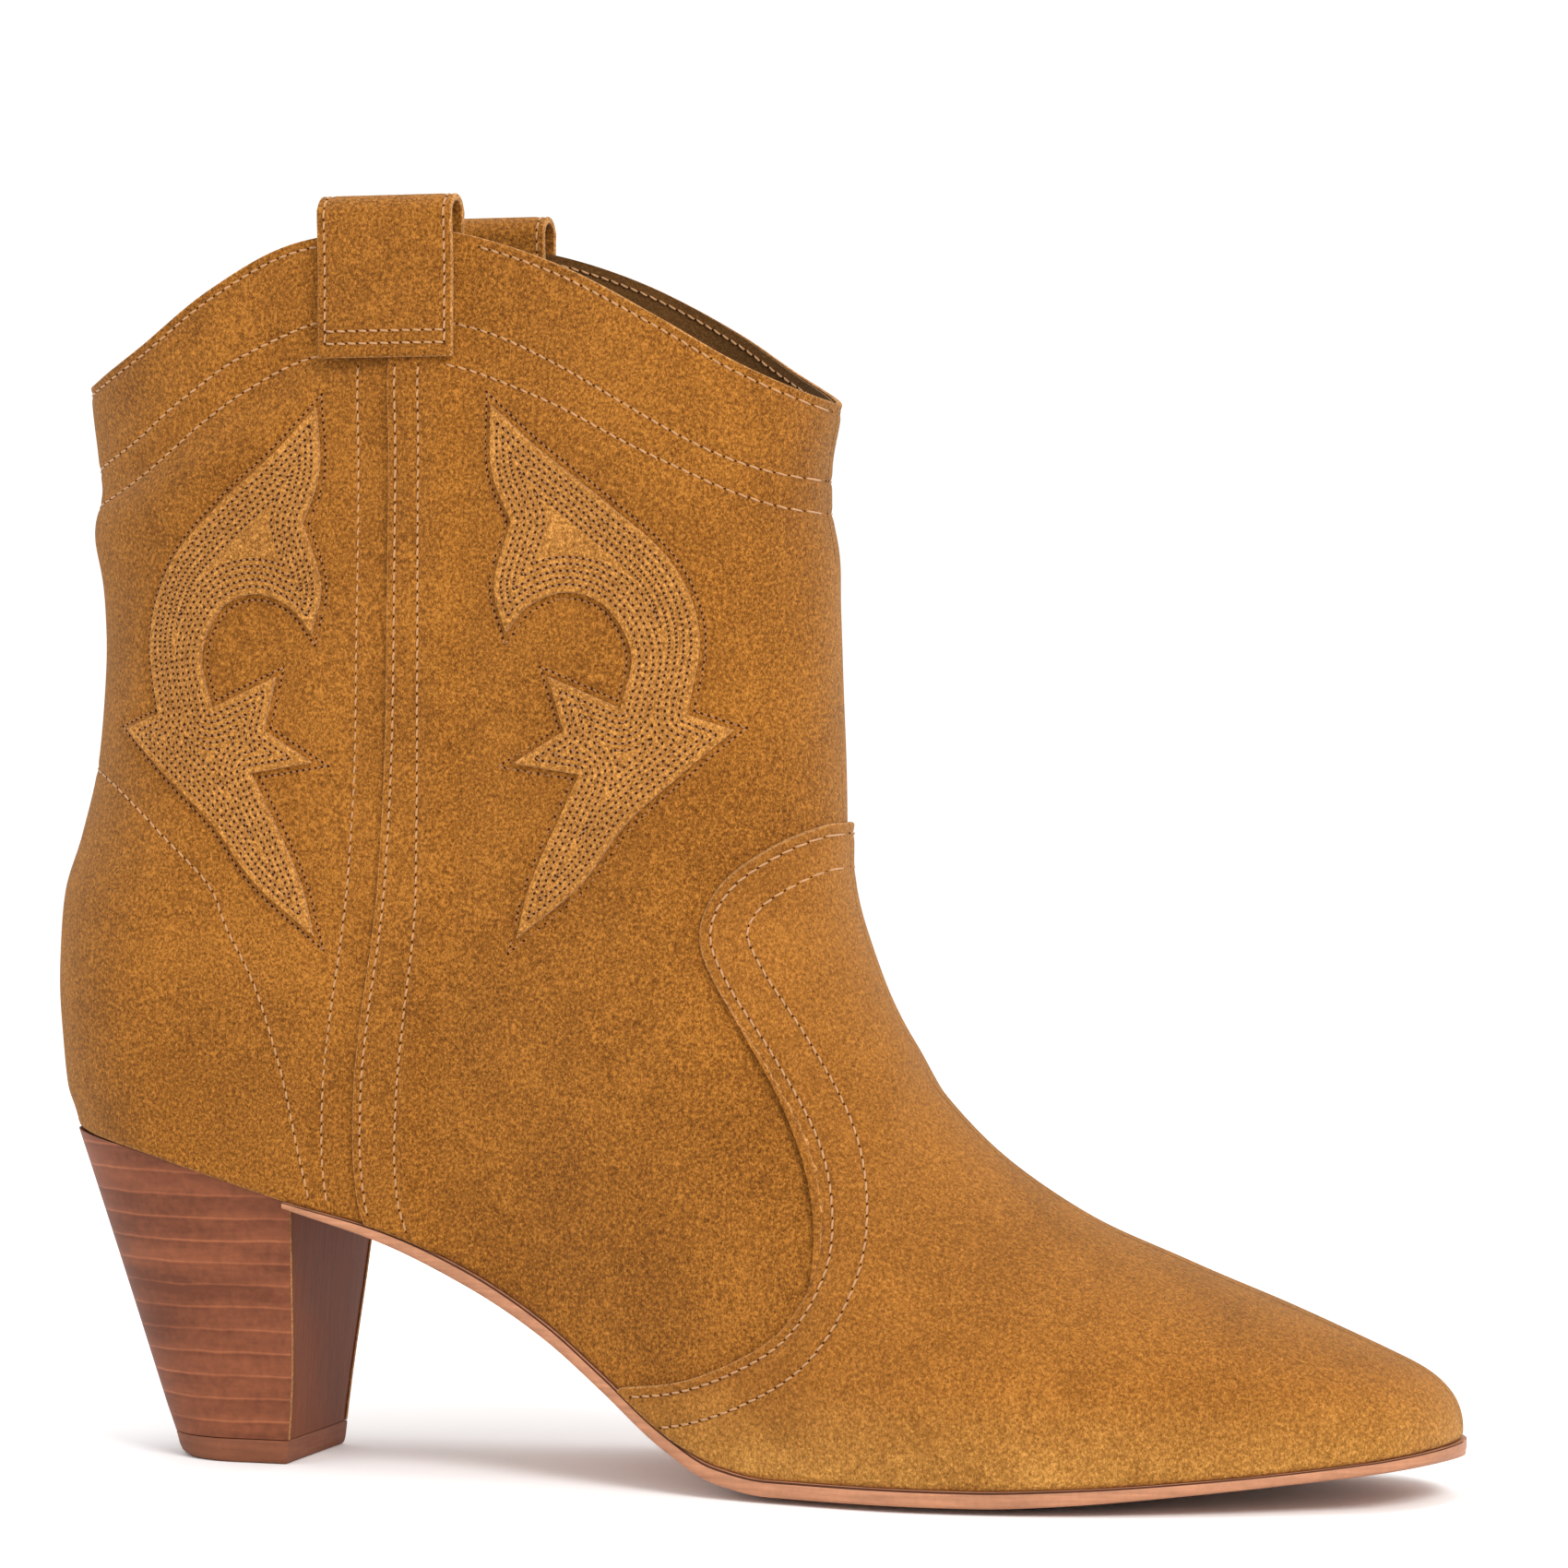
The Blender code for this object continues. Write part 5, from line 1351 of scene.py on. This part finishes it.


def suede(name, tone, patches=0.55, speckle=1.7, sheen=0.2, painted_bounce=0.0):
    """Brushed suede: smudged nap patches, a fine speckle of fibres and a soft sheen.

    Its last argument is painted bounce light from the floor: how far the suede is drawn lighter low
    down, towards the sole.
    """
    n = Nodes(name, Roughness=0.95, Sheen_Weight=sheen, Sheen_Roughness=0.45,
              Sheen_Tint=(1.0, 0.78, 0.5, 1.0), Specular_IOR_Level=0.08)
    smudge = n.noise(24.0, 3.0, 0.55, 0.8)
    cloud = n.noise(75.0, 3.0, 0.6, 0.4, n.mapped((1.0, 1.0, 0.7)))
    grain = n.noise(1500.0, 2.0, 0.6)
    fibre = n.noise(3800.0, 2.0, 0.7, 0.0, n.mapped((1.0, 1.0, 0.6)))
    value = n.blend([(smudge, patches), (cloud, patches * 0.6), (grain, speckle),
                     (fibre, speckle * 1.1)])
    stops = [(place, [c * k for c, k in zip(tone, shares)])
             for place, shares in ((0.0, DARK_NAP), (0.5, (1.0, 1.0, 1.0)), (1.0, LIGHT_NAP))]
    colour = n.ramp(value, stops)
    # painted bounce light from the floor: the suede is drawn lighter, in patches, below the bounce
    # height
    if painted_bounce:
        low = n.math("MULTIPLY_ADD", n.axis("Z"), -1 / BOUNCE_LIGHT_HEIGHT, 1.0)
        bounce_patches = n.math("MULTIPLY_ADD", cloud, 0.9, 0.55)
        share = n.math("MULTIPLY", n.math("MAXIMUM", low, 0.0), bounce_patches)
        bounce_lit = n.ramp(value, [(place, [c * k for c, k in zip(shade, BOUNCE_LIGHT_SHARES)])
                                for place, shade in stops])
        colour = n.mix(n.math("MULTIPLY", share, painted_bounce), colour, bounce_lit)
    n.bump(n.blend([(grain, 0.6), (fibre, 0.9)]), 0.7, 0.00045)
    return n.finish(colour, n.spread(cloud, 0.86, 1.0))


def plain_leather(name, tone, roughness=(0.5, 0.75), strength=0.4, specular=0.3):
    """Smooth or lightly grained leather with soft colour variation."""
    n = Nodes(name, Specular_IOR_Level=specular)
    cloud = n.noise(60.0, 4.0, 0.6, 0.3)
    grain = n.voronoi(900.0)
    fine = n.noise(2200.0, 2.0, 0.6)
    value = n.blend([(cloud, 0.5), (fine, 0.3)])
    colour = n.toned(value, tone, ((0.2, 0.72), (0.5, 1.0), (0.85, 1.3)))
    n.bump(n.blend([(grain, 0.6), (fine, 0.35)]), strength, 0.00025)
    return n.finish(colour, n.spread(cloud, *roughness))


def thread_look(name, tone):
    """Spun thread: a fine twist and a little fuzz."""
    n = Nodes(name, Roughness=0.7, Sheen_Weight=0.3, Specular_IOR_Level=0.25)
    twist = n.noise(5200.0, 1.0, 0.5, 0.0, n.mapped((1.0, 1.0, 1.6)))
    shade = n.noise(300.0, 2.0, 0.5)
    value = n.blend([(twist, 0.7), (shade, 0.5)])
    colour = n.toned(value, tone, ((0.2, 0.62), (0.55, 1.0), (0.9, 1.25)))
    n.bump(twist, 0.5, 0.0002)
    return n.finish(colour)


# Brightness across one layer of the stack, from joint to joint, and the stack's colours.
JOINT_STOPS = ((0.0, 0.5), (0.05, 1.0), (0.11, 0.4), (0.3, 0.27), (0.8, 0.25), (0.95, 0.14),
               (1.0, 0.5))
STACK_STOPS = ((0.05, (0.120, 0.033, 0.013)), (0.4, (0.222, 0.066, 0.027)),
               (0.65, (0.290, 0.092, 0.038)), (0.95, (0.42, 0.150, 0.060)))


def stacked_leather(name):
    """Stained stacked leather: level layers, faint light joints, smoky zones and scratches."""
    n = Nodes(name, Specular_IOR_Level=0.2)
    wander = n.noise(45.0, 3.0, 0.55)
    layer = HEEL_TOP * MM / HEEL_LAYERS
    level = n.math("MULTIPLY_ADD", wander, 0.0016, n.axis("Z"))
    share = n.math("FRACT", n.math("DIVIDE", level, layer))
    joint = n.toned(share, (1.0, 1.0, 1.0), JOINT_STOPS)
    fading = n.noise(30.0, 3.0, 0.6, 0.2, n.mapped((1.0, 1.0, 5.0)))
    smoke = n.noise(42.0, 4.0, 0.6, 0.3, n.mapped((0.5, 0.5, 3.0)))
    scratch = n.noise(900.0, 3.0, 0.65, 0.0, n.mapped((0.1, 0.1, 1.2)))
    mottle = n.noise(600.0, 3.0, 0.65)
    line = n.math("MULTIPLY", joint, n.spread(fading, 0.1, 1.35))
    value = n.blend([(line, 0.75), (smoke, 1.1), (scratch, 0.2), (mottle, 0.5)], 0.42)
    colour = n.ramp(value, STACK_STOPS)
    n.bump(n.blend([(joint, -0.15), (scratch, 0.4), (mottle, 0.5)]), 0.3, 0.0002)
    return n.finish(colour, n.spread(mottle, 0.5, 0.68))


def streaked(name, tone, scale, roughness=(0.4, 0.6), strength=0.3):
    """A finish with long streaks: scale sets how the streaks stretch along each axis."""
    n = Nodes(name, Specular_IOR_Level=0.2)
    streak = n.noise(900.0, 3.0, 0.65, 0.0, n.mapped(scale))
    cross = n.noise(900.0, 2.0, 0.6, 0.0, n.mapped((1.0, 1.0, 0.9)))
    cloud = n.noise(70.0, 3.0, 0.6)
    value = n.blend([(streak, 0.9), (cross, 0.35), (cloud, 0.5)])
    colour = n.toned(value, tone, ((0.15, 0.68), (0.5, 1.0), (0.85, 1.35)))
    n.bump(n.blend([(streak, 0.8), (cross, 0.4)]), strength, 0.0002)
    return n.finish(colour, n.spread(cloud, *roughness))


def metal(name, tone):
    """Brushed steel with a little wear."""
    n = Nodes(name, Metallic=1.0)
    brushed = n.noise(600.0, 3.0, 0.6, 0.0, n.mapped((1.0, 1.0, 0.1)))
    wear = n.noise(120.0, 3.0, 0.6)
    colour = n.toned(n.blend([(brushed, 0.5), (wear, 0.4)]), tone, ((0.2, 0.75), (0.8, 1.15)))
    n.bump(brushed, 0.2, 0.0001)
    return n.finish(colour, n.spread(wear, 0.25, 0.5))


def granular(name, tone, scale, contrast=0.35):
    """Cork, foam or board: packed grains."""
    n = Nodes(name, Roughness=0.85)
    cells = n.voronoi(scale)
    specks = n.noise(scale * 2.2, 3.0, 0.6)
    value = n.blend([(cells, 0.7), (specks, 0.6)])
    colour = n.toned(value, tone, ((0.15, 1 - contrast), (0.5, 1.0), (0.85, 1 + contrast)))
    n.bump(value, 0.5, 0.0003)
    return n.finish(colour)


def redress(node_names, look):
    """Gives kept CAD nodes a better material."""
    for name in node_names:
        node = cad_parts[name]
        node.data.materials.clear()
        node.data.materials.append(look)


# ---------------------------------------------------------------- stage (metres, degrees)
CAMERA_TARGET = (0.00845, 0.001, 0.129)
CAMERA_AZIMUTH, CAMERA_ELEVATION = 16.5, 1.0
CAMERA_DISTANCE = 1.015
CAMERA_LENS, CAMERA_SENSOR = 124.94, 36.0
WORLD_STRENGTH = 1.08
LIGHTS = (               # name, place, size, power
    ("key_softbox", (1.1, -1.1, 1.3), 0.7, 24.0),
    ("fill_softbox", (-1.5, -1.0, 0.6), 1.2, 3.0),
    ("top_softbox", (0.1, 0.2, 1.9), 1.4, 9.0),
)
FLOOR_REACH = 6.0


def make_floor():
    """A large sheet of white paper."""
    n = Nodes("floor_paper", Roughness=0.9)
    n.bump(n.noise(400.0, 2.0, 0.5), 0.05, 0.0002)
    shade = n.toned(n.noise(2.0, 2.0, 0.5), (1.0, 1.0, 1.0), ((0.3, 0.93), (0.7, 0.95)))
    mesh = bpy.data.meshes.new("floor")
    reach = FLOOR_REACH
    corners = [(-reach, -reach, 0), (reach, -reach, 0), (reach, reach, 0), (-reach, reach, 0)]
    mesh.from_pydata(corners, [], [(0, 1, 2, 3)])
    mesh.materials.append(n.finish(shade))
    floor = bpy.data.objects.new("floor", mesh)
    bpy.context.collection.objects.link(floor)


def make_lights():
    """An even white world and three softboxes aimed at the boot."""
    world = bpy.data.worlds.new("studio")
    world.use_nodes = True
    background = world.node_tree.nodes["Background"]
    background.inputs["Color"].default_value = (1.0, 1.0, 1.0, 1.0)
    background.inputs["Strength"].default_value = WORLD_STRENGTH
    bpy.context.scene.world = world
    for name, place, size, power in LIGHTS:
        lamp = bpy.data.lights.new(name, "AREA")
        lamp.size = size
        lamp.energy = power
        rig = bpy.data.objects.new(name, lamp)
        rig.location = place
        aim = Vector(CAMERA_TARGET) - Vector(place)
        rig.rotation_euler = aim.to_track_quat("-Z", "Y").to_euler()
        bpy.context.collection.objects.link(rig)


def make_camera():
    """The camera, at its azimuth, elevation and distance from the target."""
    azimuth, elevation = math.radians(CAMERA_AZIMUTH), math.radians(CAMERA_ELEVATION)
    level = math.cos(elevation)
    back = Vector((math.sin(azimuth) * level, -math.cos(azimuth) * level, math.sin(elevation)))
    lens = bpy.data.cameras.new("camera")
    lens.lens = CAMERA_LENS
    lens.sensor_width = CAMERA_SENSOR
    lens.clip_start = 0.01
    camera = bpy.data.objects.new("camera", lens)
    camera.location = Vector(CAMERA_TARGET) + back * CAMERA_DISTANCE
    camera.rotation_euler = (-back).to_track_quat("-Z", "Y").to_euler()
    bpy.context.collection.objects.link(camera)
    bpy.context.scene.camera = camera


# ---------------------------------------------------------------- build
make_camera()
make_floor()
make_lights()
bpy.context.scene.view_settings.view_transform = "Standard"

body_suede = suede("suede_ochre", (0.230, 0.082, 0.0105), painted_bounce=0.35)
vamp_suede = suede("suede_vamp", (0.252, 0.092, 0.0135), 0.5, 1.3, painted_bounce=1.0)
scroll_suede = suede("suede_scroll", (0.335, 0.137, 0.026), 0.5)
raw_edge = suede("suede_raw_edge", (0.34, 0.148, 0.040), 0.4)
thread = thread_look("thread_tan", (0.46, 0.235, 0.095))
# painted shade: the needle holes' dark colour stands in for the shade inside each hole
hole = plain_leather("needle_hole_painted_shade", (0.040, 0.012, 0.004), (0.9, 1.0), 0.1, 0.0)
motif_thread = thread_look("thread_motif", (0.34, 0.145, 0.045))
facing_look = suede("facing_brown", (0.115, 0.049, 0.012), 0.5, 0.8)
lining_look = plain_leather("lining_leather", (0.14, 0.064, 0.026))
sole_look = streaked("sole_edge_leather", (0.40, 0.180, 0.095), (0.08, 0.08, 1.4), (0.45, 0.6),
                     0.25)
sole_dark = plain_leather("sole_edge_dark", (0.060, 0.020, 0.010), (0.6, 0.8), 0.2, 0.15)
stack_look = stacked_leather("heel_stack")
breast_look = streaked("heel_breast", (0.150, 0.041, 0.014), (1.0, 1.6, 0.05), (0.55, 0.7), 0.4)
cap_look = streaked("heel_cap", (0.190, 0.064, 0.030), (0.08, 0.08, 1.2), (0.55, 0.7), 0.3)

make_upper(body_suede, vamp_suede, raw_edge)
make_inside(facing_look, lining_look, [thread, hole])
make_construction_stitches([thread, hole])
make_scrolls([scroll_suede, raw_edge, motif_thread, hole])
make_straps([body_suede, raw_edge], [thread, hole])
make_sole(sole_look, sole_dark)
make_inner_boards(lining_look, granular("pad_foam", (0.62, 0.55, 0.40), 900.0, 0.2))
make_heel(stack_look, raw_edge, breast_look, cap_look)

redress(["toe_puff", "heel_counter"], granular("stiffener_fabric", (0.55, 0.50, 0.40), 1200.0, 0.2))
redress(["insole_board"], granular("fibre_board", (0.42, 0.33, 0.22), 1500.0, 0.3))
redress(["bottom_filler"], granular("cork_filler", (0.42, 0.27, 0.14), 700.0, 0.45))
redress(["heel_block"], streaked("heel_core", (0.48, 0.35, 0.21), (1.0, 1.0, 0.08)))
redress(["shank"], metal("shank_steel", (0.55, 0.56, 0.58)))
nails = [f"heel_nail_{k}" for k in range(1, 6)]
redress(["heel_screw", "heel_cap_pin_1", "heel_cap_pin_2"] + nails,
        metal("fastener_steel", (0.62, 0.62, 0.60)))
